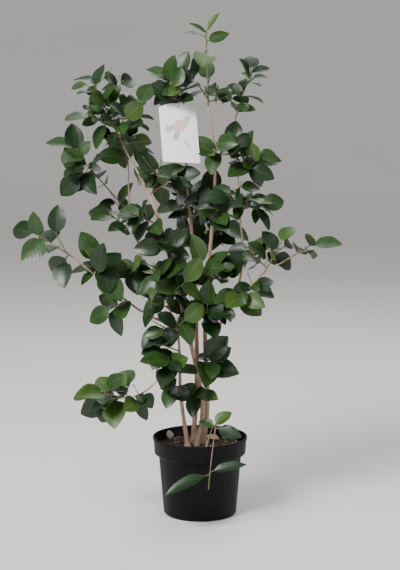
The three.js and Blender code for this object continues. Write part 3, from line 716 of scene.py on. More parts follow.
# The sprays are one year's shoots with their side shoots, finer twigs and leaves. Each grows on from a limb's
# tip, or from its side at the height "at", by the rule that gave the solids their sprays, with its own seed.
# - "shoot" is the leading shoot's heading, pitch and length, and "lift" how much its tip bends up.
# - "leaf" and "count" are its leaves' usual length and their number, "turn" is its first leaf's angle, and
#   "bare" the share of it below that leaf.
# - "sides" is the number of side shoots that leave it in a spiral, or has a row for each: the share of the
#   leading shoot where it leaves, its heading, pitch, length and number of leaves, and, where they aren't the
#   usual ones, its leaf's length, its share of the usual width and its first leaf's angle.
# - "fresh" is the share of young leaves, and "finer" the number of finer twigs on each shoot.
SPRAYS = {
    "foliage_crown_left": {
        "on": "stem_back", "shoot": (160, 74, 108), "leaf": 70, "count": 7, "seed": 14,
        "sides": [(0.44, 225, 6, 36, 3), (0.52, 187, 43, 60, 4), (0.65, -21, 42, 45, 4)],
    },
    "foliage_leader": {
        "on": "stem_centre", "shoot": (214, 88, 182), "leaf": 68, "count": 0, "seed": 11,
        "sides": [
            (0.06, -21, 9, 50, 3), (0.1, 140, 45, 50, 2), (0.2, 200, 50, 14, 2), (0.3, 60, 50, 14, 2),
            (0.74, -105, 15, 8, 1, 92, 1, 270), (0.86, -8, 70, 7, 1, 72, 0.8, 270),
            (0.93, 178, 66, 7, 1, 62, 0.6, 270), (0.99, 3, 95, 6, 1, 68, 0.5, 270),
            (0.97, 180, 95, 6, 1, 60, 0.5, 270), (0.03, -75, 40, 10, 1, 66, 1.1, 270),
        ],
        "finer": 0,
    },
    "foliage_right_top": {
        "on": "bough_right_tall", "shoot": (13, 72, 135), "leaf": 62, "count": 9, "seed": 8,
        "sides": [(0.25, -142, 26, 40, 3)], "finer": 3,
    },
    "foliage_right_upper": {
        "on": "bough_right_tall", "at": 930, "shoot": (-15, 6, 50), "leaf": 74, "count": 4, "seed": 2,
        "sides": [(0.15, -142, 53, 60, 4), (0.25, -60, -20, 50, 3)],
    },
    "foliage_right_middle": {
        "on": "bough_right_tall", "at": 815, "shoot": (-9, 5, 55), "leaf": 74, "count": 4, "seed": 4,
        "sides": [(0.2, -150, 30, 55, 4), (0.25, 100, 20, 60, 4)],
    },
    "foliage_right_tip": {
        "on": "bough_right_low", "shoot": (-6, 32, 90), "leaf": 70, "count": 5, "turn": 60, "bare": 0.45,
        "seed": 8, "fresh": 0.3, "finer": 0,
    },
    "foliage_right_arm": {
        "on": "bough_right_low", "at": 650, "shoot": (6, 61, 90), "leaf": 74, "count": 6, "seed": 15,
        "sides": [(0.15, 160, 42, 60, 4), (0.1, -68, -40, 50, 4)], "fresh": 0.15,
    },
    "foliage_right_low": {
        "on": "bough_right_low", "at": 612, "shoot": (-70, 5, 40), "leaf": 62, "count": 4, "seed": 31,
    },
    "foliage_right_inner": {
        "on": "bough_right_tall", "at": 590, "shoot": (-75, 5, 70), "leaf": 74, "count": 6, "seed": 41,
        "fresh": 0.15,
    },
    "foliage_left_top": {
        "on": "stem_left", "shoot": (177, 65, 180), "leaf": 74, "count": 8, "seed": 1,
        "sides": [
            (0.05, -17, -4, 50, 3), (0.12, 15, 54, 95, 5), (0.28, -160, 22, 70, 4), (0.45, 56, 70, 80, 4),
            (0.2, -60, 40, 60, 4),
        ],
        "finer": 6,
    },
    "foliage_left_outer": {
        "on": "bough_left_tall", "at": 790, "shoot": (193, 49, 240), "leaf": 76, "count": 8, "bare": 0.45,
        "seed": 7, "sides": [(0.65, 217, -20, 40, 3)], "finer": 3,
    },
    "foliage_left_tall": {
        "on": "bough_left_tall", "shoot": (100, 50, 80), "leaf": 74, "count": 7, "seed": 7,
    },
    "foliage_left_middle": {
        "on": "bough_left_tall", "at": 735, "shoot": (203, 40, 90), "leaf": 76, "count": 6, "seed": 21,
        "sides": [(0.2, 150, 60, 75, 4)],
    },
    "foliage_left_low": {
        "on": "bough_left_tall", "at": 640, "shoot": (-125, 15, 55), "leaf": 74, "count": 5, "seed": 32,
    },
    "foliage_left_arm": {
        "on": "bough_left_low", "shoot": (188, 33, 114), "leaf": 78, "count": 5, "bare": 0.4, "seed": 7,
        "sides": [(0.15, 175, 58, 50, 2), (0.1, -129, -40, 30, 2)], "finer": 0,
    },
    "foliage_left_arm_inner": {
        "on": "bough_left_low", "at": 630, "shoot": (140, 62, 60), "leaf": 84, "count": 4, "seed": 2,
        "sides": [(0.15, -100, 20, 40, 3)],
    },
    "foliage_left_arm_low": {
        "on": "bough_left_low", "at": 580, "shoot": (-142, -20, 50), "leaf": 72, "count": 5, "seed": 15,
        "sides": [(0.2, 120, 60, 60, 3)],
    },
    "foliage_front": {
        "on": "stem_front", "shoot": (192, 72, 120), "leaf": 78, "count": 7, "seed": 12,
        "sides": [(0.05, 210, 10, 65, 4), (0.3, -20, 30, 60, 4)], "fresh": 0.12,
    },
    "foliage_front_middle": {
        "on": "stem_front", "at": 492, "shoot": (200, 30, 75), "leaf": 80, "count": 6, "seed": 30,
        "sides": [(0.3, -40, 30, 50, 4)], "fresh": 0.15,
    },
    "foliage_front_low": {
        "on": "stem_front", "at": 398, "shoot": (238, 30, 55), "leaf": 76, "count": 5, "seed": 13,
        "fresh": 0.2,
    },
    "foliage_low_left": {
        "on": "bough_low_left", "shoot": (184, 10, 80), "leaf": 84, "count": 5, "seed": 22,
        "sides": [(0.1, 120, 60, 22, 2), (0.3, 200, -20, 45, 3)], "fresh": 0.4, "finer": 8,
    },
    "foliage_low_left_inner": {
        "on": "bough_low_left", "at": 342, "shoot": (-140, -40, 25), "leaf": 68, "count": 4, "seed": 28,
        "fresh": 0.3, "finer": 8,
    },
    "foliage_front_foot": {
        "on": "stem_front", "at": 352, "shoot": (215, 12, 40), "leaf": 64, "count": 5, "seed": 43,
        "fresh": 0.1,
    },
    "foliage_front_inner": {
        "on": "stem_front", "at": 448, "shoot": (180, 20, 50), "leaf": 70, "count": 6, "seed": 43,
        "fresh": 0.1,
    },
    "foliage_foot": {
        "on": "stem_centre", "at": 372, "shoot": (-95, 49, 80), "leaf": 88, "count": 5, "seed": 24,
        "sides": [(0.4, 10, 35, 45, 3)],
    },
    "foliage_skirt": {
        "on": "stem_left", "at": 322, "shoot": (240, 15, 45), "leaf": 66, "count": 5, "seed": 16,
        "fresh": 0.15,
    },
    "foliage_centre_low": {
        "on": "stem_centre", "at": 476, "shoot": (-85, 51, 110), "leaf": 78, "count": 7, "seed": 17,
        "sides": 2, "fresh": 0.08,
    },
    "foliage_centre": {
        "on": "stem_centre", "at": 600, "shoot": (-100, 45, 100), "leaf": 78, "count": 7, "seed": 18,
        "sides": 2, "fresh": 0.1,
    },
    "foliage_centre_high": {
        "on": "stem_centre", "at": 760, "shoot": (-80, 50, 100), "leaf": 76, "count": 7, "seed": 19,
        "sides": 2, "fresh": 0.1,
    },
    "foliage_centre_top": {
        "on": "stem_centre", "at": 930, "shoot": (-88, 40, 80), "leaf": 74, "count": 6, "seed": 20,
        "sides": 2,
    },
    "foliage_left_stem": {
        "on": "stem_left", "at": 690, "shoot": (-110, 35, 70), "leaf": 76, "count": 6, "seed": 22,
        "sides": 2, "fresh": 0.1,
    },
    "foliage_left_stem_middle": {
        "on": "stem_left", "at": 770, "shoot": (-160, 25, 70), "leaf": 74, "count": 6, "seed": 44,
    },
    "foliage_left_stem_high": {
        "on": "stem_left", "at": 850, "shoot": (20, 35, 85), "leaf": 76, "count": 5, "seed": 23,
        "sides": 2,
    },
    "foliage_back_low": {
        "on": "stem_back", "at": 560, "shoot": (120, 40, 110), "leaf": 78, "count": 6, "seed": 24,
        "sides": 2,
    },
    "foliage_back_high": {
        "on": "stem_back", "at": 760, "shoot": (70, 50, 120), "leaf": 78, "count": 6, "seed": 25,
        "sides": 2,
    },
    "foliage_back": {
        "on": "bough_back", "shoot": (90, 60, 110), "leaf": 78, "count": 6, "seed": 26, "sides": 2,
    },
    "foliage_rim": {
        "on": "bough_rim", "shoot": (-105, -50, 121), "lift": -0.45, "leaf": 92, "count": 0, "seed": 2,
        "sides": [
            (0.1, 8, 88, 5, 1, 56, 1.1, 270), (0.12, 172, 66, 5, 1, 48, 1.1, 270),
            (0.14, -15, 38, 6, 1, 72, 0.85, 270), (0.82, 20, 12, 6, 1, 96, 0.5),
            (0.84, 187, -30, 8, 1, 110, 0.45),
        ],
        "finer": 0,
    },
}
GOLDEN_ANGLE = 137.5
FRONT = Vector((0, -1, 0))
SHOOT = {"foot": 1.9, "tip": 1.3, "bare": 0.3}
SIDE = {
    "bare": 0.35, "lift": 0.1, "first": 0.3, "last": 0.8, "heading": 70, "heading_throw": 20,
    "pitch": (10, 45), "length": (0.45, 0.65), "count": 4,
}
GROWTH = {
    "open": (68, 34), "open_throw": 12, "roll_throw": 20, "flat_on_level": 0.4, "droop": (0.05, 0.4),
    "face_along": 0.35, "face_up": 0.45, "face_front": 0.6, "face_throw": 30, "length": (0.84, 1.12),
    "width": (0.9, 1.08), "curl": (0.04, 0.24), "fold": (0.12, 0.4),
}
LEAF_HALF_WIDTH = 0.34
FINER = {
    "share": (0.15, 0.95), "heading_throw": 60, "pitch": (-20, 55), "length": (22, 58), "foot": 1.1,
    "tip": 0.8, "count": 4, "bare": 0.25, "leaf": (0.6, 0.95), "twigs": 14, "seed_shift": 500,
}
SHOOT_SEEN = 2
LEAF_SEEN = 0.4
REACH_DIRECTIONS = 90
REACH_MARGIN = 6
ROUGH_LEAF_ROWS = [(0.14, 0.4), (0.38, 1), (0.68, 0.86), (1, 0.02)]
CARD_FREE_DEPTH = 0.11


def heading_way(heading, pitch):
    """The direction of a heading and a pitch in degrees."""
    h, p = math.radians(heading), math.radians(pitch)
    return Vector((math.cos(p) * math.cos(h), math.cos(p) * math.sin(h), math.sin(p)))


def make_shoot(start, heading, pitch, length, lift, foot, tip):
    """A shoot sets off along its heading and pitch, and its lift bends it more and more towards its tip."""
    h = math.radians(heading)
    return {
        "start": start,
        "off": heading_way(heading, pitch),
        "level": Vector((-math.sin(h), math.cos(h), 0)),
        "steep": abs(math.sin(math.radians(pitch))),
        "heading": heading,
        "length": length,
        "lift": lift,
        "radii": (foot, tip),
    }


def shoot_place(shoot, share):
    length = shoot["length"]
    return shoot["start"] + shoot["off"] * (length * share) + UP * (shoot["lift"] * length * share * share)


def shoot_along(shoot, share):
    return (shoot["off"] + UP * (2 * shoot["lift"] * share)).normalized()


def leading_shoot(spray):
    line = limb_lines[spray["on"]]
    start = place_at_height(line, spray["at"]) if "at" in spray else line(1)
    foot = SHOOT["foot"] if "at" in spray else LIMBS[spray["on"]]["radii"][1]
    return make_shoot(start, *spray["shoot"], spray.get("lift", 0), foot, SHOOT["tip"])


def side_rows(spray, dice):
    """The rows of a spray's side shoots, those that aren't listed too."""
    sides = spray.get("sides", 0)
    if isinstance(sides, list):
        return sides
    heading, _, length = spray["shoot"]
    throws = (-SIDE["heading_throw"], SIDE["heading_throw"])
    return [
        (
            blend((SIDE["first"], SIDE["last"]), i / sides),
            heading + SIDE["heading"] + GOLDEN_ANGLE * i + dice(*throws),
            dice(*SIDE["pitch"]),
            length * dice(*SIDE["length"]),
            SIDE["count"],
        )
        for i in range(sides)
    ]


def leaves_on(shoot, count, bare, turn, size, slim, dice):
    """Leaves spiral round a shoot, open wide low on it, and turn their faces to the light."""
    leaves = []
    for i in range(count):
        order = i / (count - 1) if count > 1 else 1
        share = blend((bare, 1), order)
        along = shoot_along(shoot, share)
        rise = along.cross(shoot["level"])
        roll = math.radians(turn + GOLDEN_ANGLE * i + dice(-GROWTH["roll_throw"], GROWTH["roll_throw"]))
        flat = blend((GROWTH["flat_on_level"], 1), shoot["steep"])
        out = (shoot["level"] * math.cos(roll) + rise * (math.sin(roll) * flat)).normalized()
        opening = math.radians(
            blend(GROWTH["open"], order ** 3) + dice(-GROWTH["open_throw"], GROWTH["open_throw"])
        )
        aim = along * math.cos(opening) + out * math.sin(opening) - UP * dice(*GROWTH["droop"])
        aim.normalize()
        face = along * GROWTH["face_along"] + UP * GROWTH["face_up"] + FRONT * GROWTH["face_front"]
        face = (face - aim * face.dot(aim)).normalized()
        face.rotate(Matrix.Rotation(math.radians(dice(-GROWTH["face_throw"], GROWTH["face_throw"])), 3, aim))
        leaves.append({
            "root": shoot_place(shoot, share),
            "along": aim,
            "face": face,
            "length": size * dice(*GROWTH["length"]),
            "half_width": LEAF_HALF_WIDTH * slim * dice(*GROWTH["width"]),
            "curl": dice(*GROWTH["curl"]),
            "fold": dice(*GROWTH["fold"]),
        })
    return leaves


def leaf_tip(leaf):
    return leaf["root"] + leaf["along"] * leaf["length"] - leaf["face"] * (leaf["curl"] * leaf["length"])


def gap_to(solid, place):
    """How far a place is from a solid's surface."""
    return solid.find_nearest(place * MM)[3] / MM


# A fan of directions all round. A mass's reach in each is how far its furthest corner lies that way.
fan = []
for i in range(REACH_DIRECTIONS):
    height = 1 - 2 * (i + 0.5) / REACH_DIRECTIONS
    turn = math.radians(GOLDEN_ANGLE * i)
    ring = math.sqrt(1 - height * height)
    fan.append((ring * math.cos(turn), ring * math.sin(turn), height))
fan = np.array(fan)

limb_solids = [surface_of(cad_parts[name]) for name in [*LIMBS, "label", "pot", "soil"]]
card_low, card_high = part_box("label")
leaf_solids = []
leaf_boxes = []


def rough_blade(leaf):
    """A leaf's blade with few faces, to see what it touches."""
    across = leaf["face"].cross(leaf["along"])
    places = []
    for share, wide in ROUGH_LEAF_ROWS:
        half = wide * leaf["half_width"] * leaf["length"]
        middle = leaf["root"] + leaf["along"] * (leaf["length"] * share)
        middle -= leaf["face"] * (leaf["curl"] * leaf["length"] * share * share)
        for side in (-1, 0, 1):
            edge = across * (side * half) + leaf["face"] * (leaf["fold"] * abs(side) * half)
            places.append((middle + edge) * MM)
    first_corners = [3 * row + column for row in range(len(ROUGH_LEAF_ROWS) - 1) for column in range(2)]
    return places, [(corner, corner + 1, corner + 4, corner + 3) for corner in first_corners]


def hides_card(places):
    """Whether a leaf has a corner before the card's face. Such leaves were pinched off for the card."""
    return any(
        card_low.x < place.x < card_high.x and card_low.z < place.z < card_high.z
        and card_low.y - CARD_FREE_DEPTH < place.y < card_high.y
        for place in places
    )


def stand_leaf(leaf, must_be_clear):
    """Adds a leaf to those that stand, unless it must be clear of them, the limbs and the card and isn't."""
    places, faces = rough_blade(leaf)
    blade = BVHTree.FromPolygons(places, faces)
    corners = np.array(places)
    box = np.array([corners.min(0), corners.max(0)])
    if must_be_clear:
        if hides_card(places) or any(blade.overlap(solid) for solid in limb_solids):
            return False
        boxes = np.array(leaf_boxes)
        near = np.all((boxes[:, 0] <= box[1]) & (boxes[:, 1] >= box[0]), axis=1)
        if any(blade.overlap(leaf_solids[i]) for i in np.flatnonzero(near)):
            return False
    leaf_solids.append(blade)
    leaf_boxes.append(box)
    return True


# First come the shoots and leaves that the solids have, in all sprays.
masses = {}
for name, spray in SPRAYS.items():
    dice = dice_of(spray["seed"])
    solid = surface_of(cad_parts[name])
    leader = leading_shoot(spray)
    usual_leaf = (spray["leaf"], 1, None)
    bare, turn = spray.get("bare", SHOOT["bare"]), spray.get("turn", 0)
    shoots = [(leader, spray["count"], bare, turn, spray["leaf"], 1)]
    for share, heading, pitch, length, count, *own_leaf in side_rows(spray, dice):
        foot = blend(leader["radii"], share)
        start = shoot_place(leader, share)
        side = make_shoot(start, heading, pitch, length, SIDE["lift"], foot, SHOOT["tip"])
        if gap_to(solid, shoot_place(side, 1)) < SHOOT_SEEN:
            size, slim, roll = (*own_leaf, *usual_leaf[len(own_leaf):])
            turn = dice(0, 360) if roll is None else roll
            shoots.append((side, count, SIDE["bare"], turn, size, slim))
    leaves = []
    for shoot, *growth in shoots:
        for leaf in leaves_on(shoot, *growth, dice):
            if gap_to(solid, leaf_tip(leaf)) < LEAF_SEEN:
                leaves.append(leaf)
                stand_leaf(leaf, must_be_clear=False)
    corners = np.array([v.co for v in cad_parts[name].data.vertices]) / MM
    masses[name] = {
        "shoots": [shoot for shoot, *_ in shoots],
        "leaves": leaves,
        "twigs": [],
        "reach": (fan @ corners.T).max(1),
    }

# Then the finer twigs fill each mass from within, with leaves of their own. None reaches past its mass.
for name, mass in masses.items():
    spray = SPRAYS[name]
    dice = dice_of(spray["seed"] + FINER["seed_shift"])

    def within_reach(place):
        return bool(np.all(fan @ np.array(place) <= mass["reach"] + REACH_MARGIN))

    for shoot in mass["shoots"]:
        for i in range(spray.get("finer", FINER["twigs"])):
            start = shoot_place(shoot, dice(*FINER["share"]))
            throw = dice(-FINER["heading_throw"], FINER["heading_throw"])
            heading = shoot["heading"] + GOLDEN_ANGLE * (i + 0.5) + throw
            pitch, length = dice(*FINER["pitch"]), dice(*FINER["length"])
            twig = make_shoot(start, heading, pitch, length, SIDE["lift"], FINER["foot"], FINER["tip"])
            size = spray["leaf"] * dice(*FINER["leaf"])
            grown = leaves_on(twig, FINER["count"], FINER["bare"], dice(0, 360), size, 1, dice)
            inner = [leaf for leaf in grown if within_reach(leaf_tip(leaf))]
            kept = [leaf for leaf in inner if stand_leaf(leaf, must_be_clear=True)]
            if kept:
                mass["twigs"].append(twig)
                mass["leaves"].extend(kept)

# A shoot is this year's or last year's wood: a slim rod, swollen where each leaf joins it, with a pointed bud
# at its tip. It is brown for a share of its length from the foot, and green from there on. A row of the bud's
# profile is a share of its length and of its radius.
SHOOT_SIDES = 7
SHOOT_STEP = 3.5
SHOOT_LEAST_STEPS = 4
OLD_WOOD = {"leading": 0.75, "side": 0.3, "finer": 0}
JOINT_SWELLING = 0.3
JOINT_WIDTH = 2.2
JOINT_SPACING = 17
BUD_SIDES = 6
BUD_LENGTH = (5, 9)
BUD_PROFILE = [(0, 0.55), (0.18, 0.95), (0.42, 1), (0.7, 0.62), (1, 0.06)]
BUD_RADIUS = 0.22
BUD_SEED = 71


def rod_places(middles, radii, sides):
    """Corners of a rod in rings, twisted as little as possible."""
    side = Vector((1, 0, 0))
    rings = []
    for i, (middle, radius) in enumerate(zip(middles, radii)):
        along = (middles[min(i + 1, len(middles) - 1)] - middles[max(i - 1, 0)]).normalized()
        side = (side - along * side.dot(along)).normalized()
        other = side.cross(along)
        for k in range(sides):
            angle = 2 * math.pi * k / sides
            rings.append(middle + side * (radius * math.cos(angle)) + other * (radius * math.sin(angle)))
    return rings


def rod_faces(first, rows, sides):
    """A rod's sides and its two ends."""
    faces = [tuple(first + i for i in range(sides))]
    for row in range(rows - 1):
        for i in range(sides):
            low = first + row * sides
            after = (i + 1) % sides
            faces.append((low + i, low + sides + i, low + sides + after, low + after))
    faces.append(tuple(first + (rows - 1) * sides + i for i in reversed(range(sides))))
    return faces


twig_places, twig_polygons, twig_looks = [], [], []
bud_places, bud_polygons = [], []
bud_dice = dice_of(BUD_SEED)
for mass in masses.values():
    shoots = mass["shoots"] + mass["twigs"]
    kinds = ["leading"] + ["side"] * (len(mass["shoots"]) - 1) + ["finer"] * len(mass["twigs"])
    for shoot, kind in zip(shoots, kinds):
        steps = max(SHOOT_LEAST_STEPS, round(shoot["length"] / SHOOT_STEP))
        middles, radii = [], []
        for i in range(steps + 1):
            share = i / steps
            past_joint = (share * shoot["length"] + JOINT_SPACING / 2) % JOINT_SPACING - JOINT_SPACING / 2
            swelling = 1 + JOINT_SWELLING * math.exp(-(past_joint / JOINT_WIDTH) ** 2)
            middles.append(shoot_place(shoot, share) * MM)
            radii.append(blend(shoot["radii"], share) * swelling * MM)
        faces = rod_faces(len(twig_places), steps + 1, SHOOT_SIDES)
        twig_polygons.extend(faces)
        twig_places.extend(rod_places(middles, radii, SHOOT_SIDES))
        old_rings = int(steps * OLD_WOOD[kind])
        old_faces = 1 + old_rings * SHOOT_SIDES if old_rings else 0
        twig_looks.extend([0] * old_faces + [1] * (len(faces) - old_faces))
        length = bud_dice(*BUD_LENGTH)
        tip, along = shoot_place(shoot, 1), shoot_along(shoot, 1)
        bud_polygons.extend(rod_faces(len(bud_places), len(BUD_PROFILE), BUD_SIDES))
        bud_places.extend(rod_places(
            [(tip + along * (length * share)) * MM for share, _ in BUD_PROFILE],
            [length * BUD_RADIUS * wide * MM for _, wide in BUD_PROFILE],
            BUD_SIDES,
        ))


def shoot_skin(name, dark, light, roughness):
    """Young wood or green shoot: smooth skin with soft streaks and a low satin gloss."""
    return grained_material(
        name, (dark, light), {"Scale": scale_for(4.3), "Detail": 4},
        roughness=(roughness - 0.1, roughness + 0.1), relief=(0.4, 0.2), Specular_IOR_Level=0.4,
    )


twigs = join_faces("shoots_and_twigs", twig_places, twig_polygons, twig_looks, [
    shoot_skin("last year's wood", "#64503f", "#8a705a", 0.75),
    shoot_skin("this year's green shoot", "#4a4f2e", "#6c6742", 0.6),
])
buds = join_faces("leaf_buds", bud_places, bud_polygons, [0] * len(bud_polygons), [
    shoot_skin("bud scales", "#46522a", "#66713f", 0.55),
])
twigs.data.shade_smooth()
buds.data.shade_smooth()
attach(twigs, "root")
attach(buds, "root")
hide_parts(*SPRAYS)

# A camellia leaf is leathery and glossy: a broad oval with a short blunt point, on a short stalk. Two halves
# fold up and bulge a little from its sunk midrib, its margin waves and its underside is paler. A row is a
# share of its length and of its half width, with corners over the upper side and back under it.
LEAF_ROWS = [
    (0, 0.05), (0.07, 0.055), (0.12, 0.4), (0.22, 0.77), (0.35, 0.96), (0.5, 1), (0.65, 0.91), (0.78, 0.7),
    (0.89, 0.42), (0.96, 0.18),
]
STALK_ROWS = 1
UPPER_SPOKES = [-1, -0.6, 0, 0.6, 1]
LOWER_SPOKES = [0.6, 0, -0.6]
SPOKES = UPPER_SPOKES + LOWER_SPOKES
LEAF_THICK = 0.55
STALK_THICK = 1.5
THINNER_AT_TIP = 0.5
THINNER_AT_MARGIN = 0.4
BULGE = 0.4
MARGIN_WAVE = 0.01
MARGIN_WAVES = 2.3
TWIST = 14
TIP_DROP = 0.05
TIP_DROP_FROM = 0.75
SIDE_VEINS = 8
SIDE_VEIN_SWEEP = 0.22
LEAF_LOOKS = {
    "leaf upper side, mature": ("#0a1f0a", "#152f0f", "#2b4a20", 0.36),
    "leaf upper side, summer": ("#172f0d", "#294815", "#446427", 0.37),
    "leaf upper side, young": ("#284111", "#3b5717", "#5f7a33", 0.42),
    "leaf underside": ("#35482a", "#4d613b", "#6c7d52", 0.65),
}
MATURE, SUMMER, YOUNG, UNDERSIDE = range(len(LEAF_LOOKS))
FRESH_SHARE = 0.06
# Painted shade: low in the crown more leaves take the dark mature look, high up more the lighter summer look.
# These are the dark shares at the crown's foot and top.
PAINTED_SHADE_DARK_SHARES = (0.8, 0.25)
CROWN_HEIGHTS = (250, 1250)
LEAF_SMOOTH_ANGLE = 70
LOOK_SEED = 97


def leaf_mesh(leaf, dice):
    """A leaf's corners, their places on its own map from base to tip, and its faces with their looks."""
    across = leaf["face"].cross(leaf["along"])
    length = leaf["length"]
    phase, turn = dice(0, 2 * math.pi), math.radians(dice(-TWIST, TWIST))

    def on_midrib(share):
        drop = leaf["curl"] * share * share + TIP_DROP * max(0, share - TIP_DROP_FROM) ** 1.5
        return leaf["root"] + (leaf["along"] * share - leaf["face"] * drop) * length

    places, marks, rings = [], [], []
    for row, (share, wide) in enumerate(LEAF_ROWS):
        half = wide * leaf["half_width"] * length
        angle = turn * share
        side_way = across * math.cos(angle) + leaf["face"] * math.sin(angle)
        up_way = leaf["face"] * math.cos(angle) - across * math.sin(angle)
        thick = STALK_THICK if row <= STALK_ROWS else LEAF_THICK * (1 - THINNER_AT_TIP * share)
        rings.append(list(range(len(places), len(places) + len(SPOKES))))
        for corner, spoke in enumerate(SPOKES):
            reach = abs(spoke)
            height = leaf["fold"] * half * (reach * (1 + BULGE) - BULGE * reach * reach)
            wave = math.sin(phase + 2 * math.pi * MARGIN_WAVES * share + spoke)
            height += MARGIN_WAVE * length * wide * reach ** 3 * wave
            if corner >= len(UPPER_SPOKES):
                height -= thick * (1 - THINNER_AT_MARGIN * reach)
            places.append((on_midrib(share) + side_way * (spoke * half) + up_way * height) * MM)
            marks.append(((spoke + 1) / 2, share))
    tip = len(places)
    places.append(on_midrib(1) * MM)
    marks.append((0.5, 1))

    faces = [tuple(rings[0])]
    looks = [leaf["looks"][1]]
    for near, far in zip(rings, [*rings[1:], [tip] * len(SPOKES)]):
        for corner in range(len(SPOKES)):
            after = (corner + 1) % len(SPOKES)
            a, b, c, d = near[corner], far[corner], far[after], near[after]
            is_upper = corner < len(UPPER_SPOKES) - 1
            # The two sheets are split along the same slant, so that neither cuts through the other.
            halves = [(a, b, c), (a, c, d)] if is_upper else [(a, b, d), (b, c, d)]
            kept = [half for half in halves if len(set(half)) == len(half)]
            faces.extend(kept)
            looks.extend([leaf["looks"][0 if is_upper else 1]] * len(kept))
    return places, marks, faces, looks


def leaf_material(name, dark, light, rib, roughness):
    """A leaf's skin: a waxy, glossy cuticle over green flesh that varies softly. The midrib, the stalk and
    the faint side veins, which arch forward from the midrib, are paler and follow the leaf's own map."""
    material, tree, shader = new_material(name, IOR=1.45)
    coordinates = add_node(tree, "TexCoord")
    where, on_leaf = coordinates.outputs["Object"], coordinates.outputs["UV"]
    mottle = add_node(
        tree, "TexNoise",
        values={"Scale": scale_for(25), "Detail": 4, "Roughness": 0.6},
        links={"Vector": where},
    )
    flesh = add_node(
        tree, "MixRGB", values={"Color1": linear(dark), "Color2": linear(light)}, links={"Fac": mottle}
    )
    parts = add_node(tree, "SeparateXYZ", links={"Vector": on_leaf})
    from_midrib = add_node(
        tree, "MapRange", settings={"clamp": False},
        values={"From Min": 0, "From Max": 1, "To Min": -1, "To Max": 1},
        links={"Value": parts.outputs["X"]},
    )
    reach = add_node(tree, "Math", settings={"operation": "ABSOLUTE"}, links={0: from_midrib})
    swept = add_node(
        tree, "Math", settings={"operation": "MULTIPLY_ADD"}, values={1: -SIDE_VEIN_SWEEP},
        links={0: reach, 2: parts.outputs["Y"]},
    )
    turns = add_node(
        tree, "Math", settings={"operation": "MULTIPLY"},
        values={1: 2 * math.pi * SIDE_VEINS}, links={0: swept},
    )
    wave = add_node(tree, "Math", settings={"operation": "COSINE"}, links={0: turns})
    side_vein = add_node(
        tree, "MapRange",
        values={"From Min": 0.85, "From Max": 1, "To Min": 0, "To Max": 0.16},
        links={"Value": wave},
    )
    midrib = add_node(
        tree, "MapRange",
        values={"From Min": 0.02, "From Max": 0.07, "To Min": 0.55, "To Max": 0},
        links={"Value": reach},
    )
    stalk = add_node(
        tree, "MapRange",
        values={"From Min": 0.06, "From Max": 0.13, "To Min": 0.8, "To Max": 0},
        links={"Value": parts.outputs["Y"]},
    )
    veins = add_node(tree, "Math", settings={"operation": "MAXIMUM"}, links={0: side_vein, 1: midrib})
    pale = add_node(tree, "Math", settings={"operation": "MAXIMUM"}, links={0: veins, 1: stalk})
    veined = add_node(
        tree, "MixRGB", values={"Color2": linear(rib)}, links={"Fac": pale, "Color1": flesh}
    )
    # The skin's grain is drawn three times its real width, so that it shows.
    grain = add_node(tree, "TexNoise", values={"Scale": scale_for(1.7), "Detail": 2}, links={"Vector": where})
    relief = add_node(
        tree, "Math", settings={"operation": "MULTIPLY_ADD"}, values={1: 0.4}, links={0: grain, 2: wave}
    )
    finish_skin(shader, veined, mottle, (roughness - 0.06, roughness + 0.1), (relief, 0.07, 0.5))
    return material


def side_of_crown(name):
    side = "left" if "left" in name else "right" if "right" in name else "middle"
    return "leaves_" + side


def leaves_piece(name, leaves, looks, dice):
    """Many leaves in one piece, with the map that the veins follow. Sheets stay crisp where they meet."""
    places, marks, faces, face_looks = [], [], [], []
    for leaf in leaves:
        own_places, own_marks, own_faces, own_looks = leaf_mesh(leaf, dice)
        first = len(places)
        places.extend(own_places)
        marks.extend(own_marks)
        faces.extend(tuple(first + corner for corner in face) for face in own_faces)
        face_looks.extend(own_looks)
    piece = join_faces(name, places, faces, face_looks, looks)
    leaf_map = piece.data.uv_layers.new(name="leaf_map")
    corners = np.empty(len(piece.data.loops), dtype=np.int32)
    piece.data.loops.foreach_get("vertex_index", corners)
    leaf_map.data.foreach_set("uv", np.array(marks, dtype=np.float32)[corners].ravel())
    select_only(piece)
    bpy.ops.object.shade_smooth_by_angle(angle=math.radians(LEAF_SMOOTH_ANGLE))
    return piece


look_dice = dice_of(LOOK_SEED)
crown = {}
for name, mass in masses.items():
    for leaf in mass["leaves"]:
        is_fresh = look_dice(0, 1) < SPRAYS[name].get("fresh", FRESH_SHARE)
        # Painted shade: the lower a leaf sits in the crown, the likelier it takes the dark mature look
        # instead of the lighter summer one.
        height = (leaf["root"].z - CROWN_HEIGHTS[0]) / (CROWN_HEIGHTS[1] - CROWN_HEIGHTS[0])
        if is_fresh:
            upper = YOUNG
        else:
            upper = MATURE if look_dice(0, 1) <= blend(PAINTED_SHADE_DARK_SHARES, height) else SUMMER
        leaf["looks"] = (upper, UNDERSIDE)
        crown.setdefault(side_of_crown(name), []).append(leaf)
leaf_looks = [leaf_material(name, *look) for name, look in LEAF_LOOKS.items()]
for part, leaves in crown.items():
    piece = leaves_piece(part, leaves, leaf_looks, look_dice)
    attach(piece, "root")
    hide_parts(*[name for name in SPRAYS if side_of_crown(name) == part])

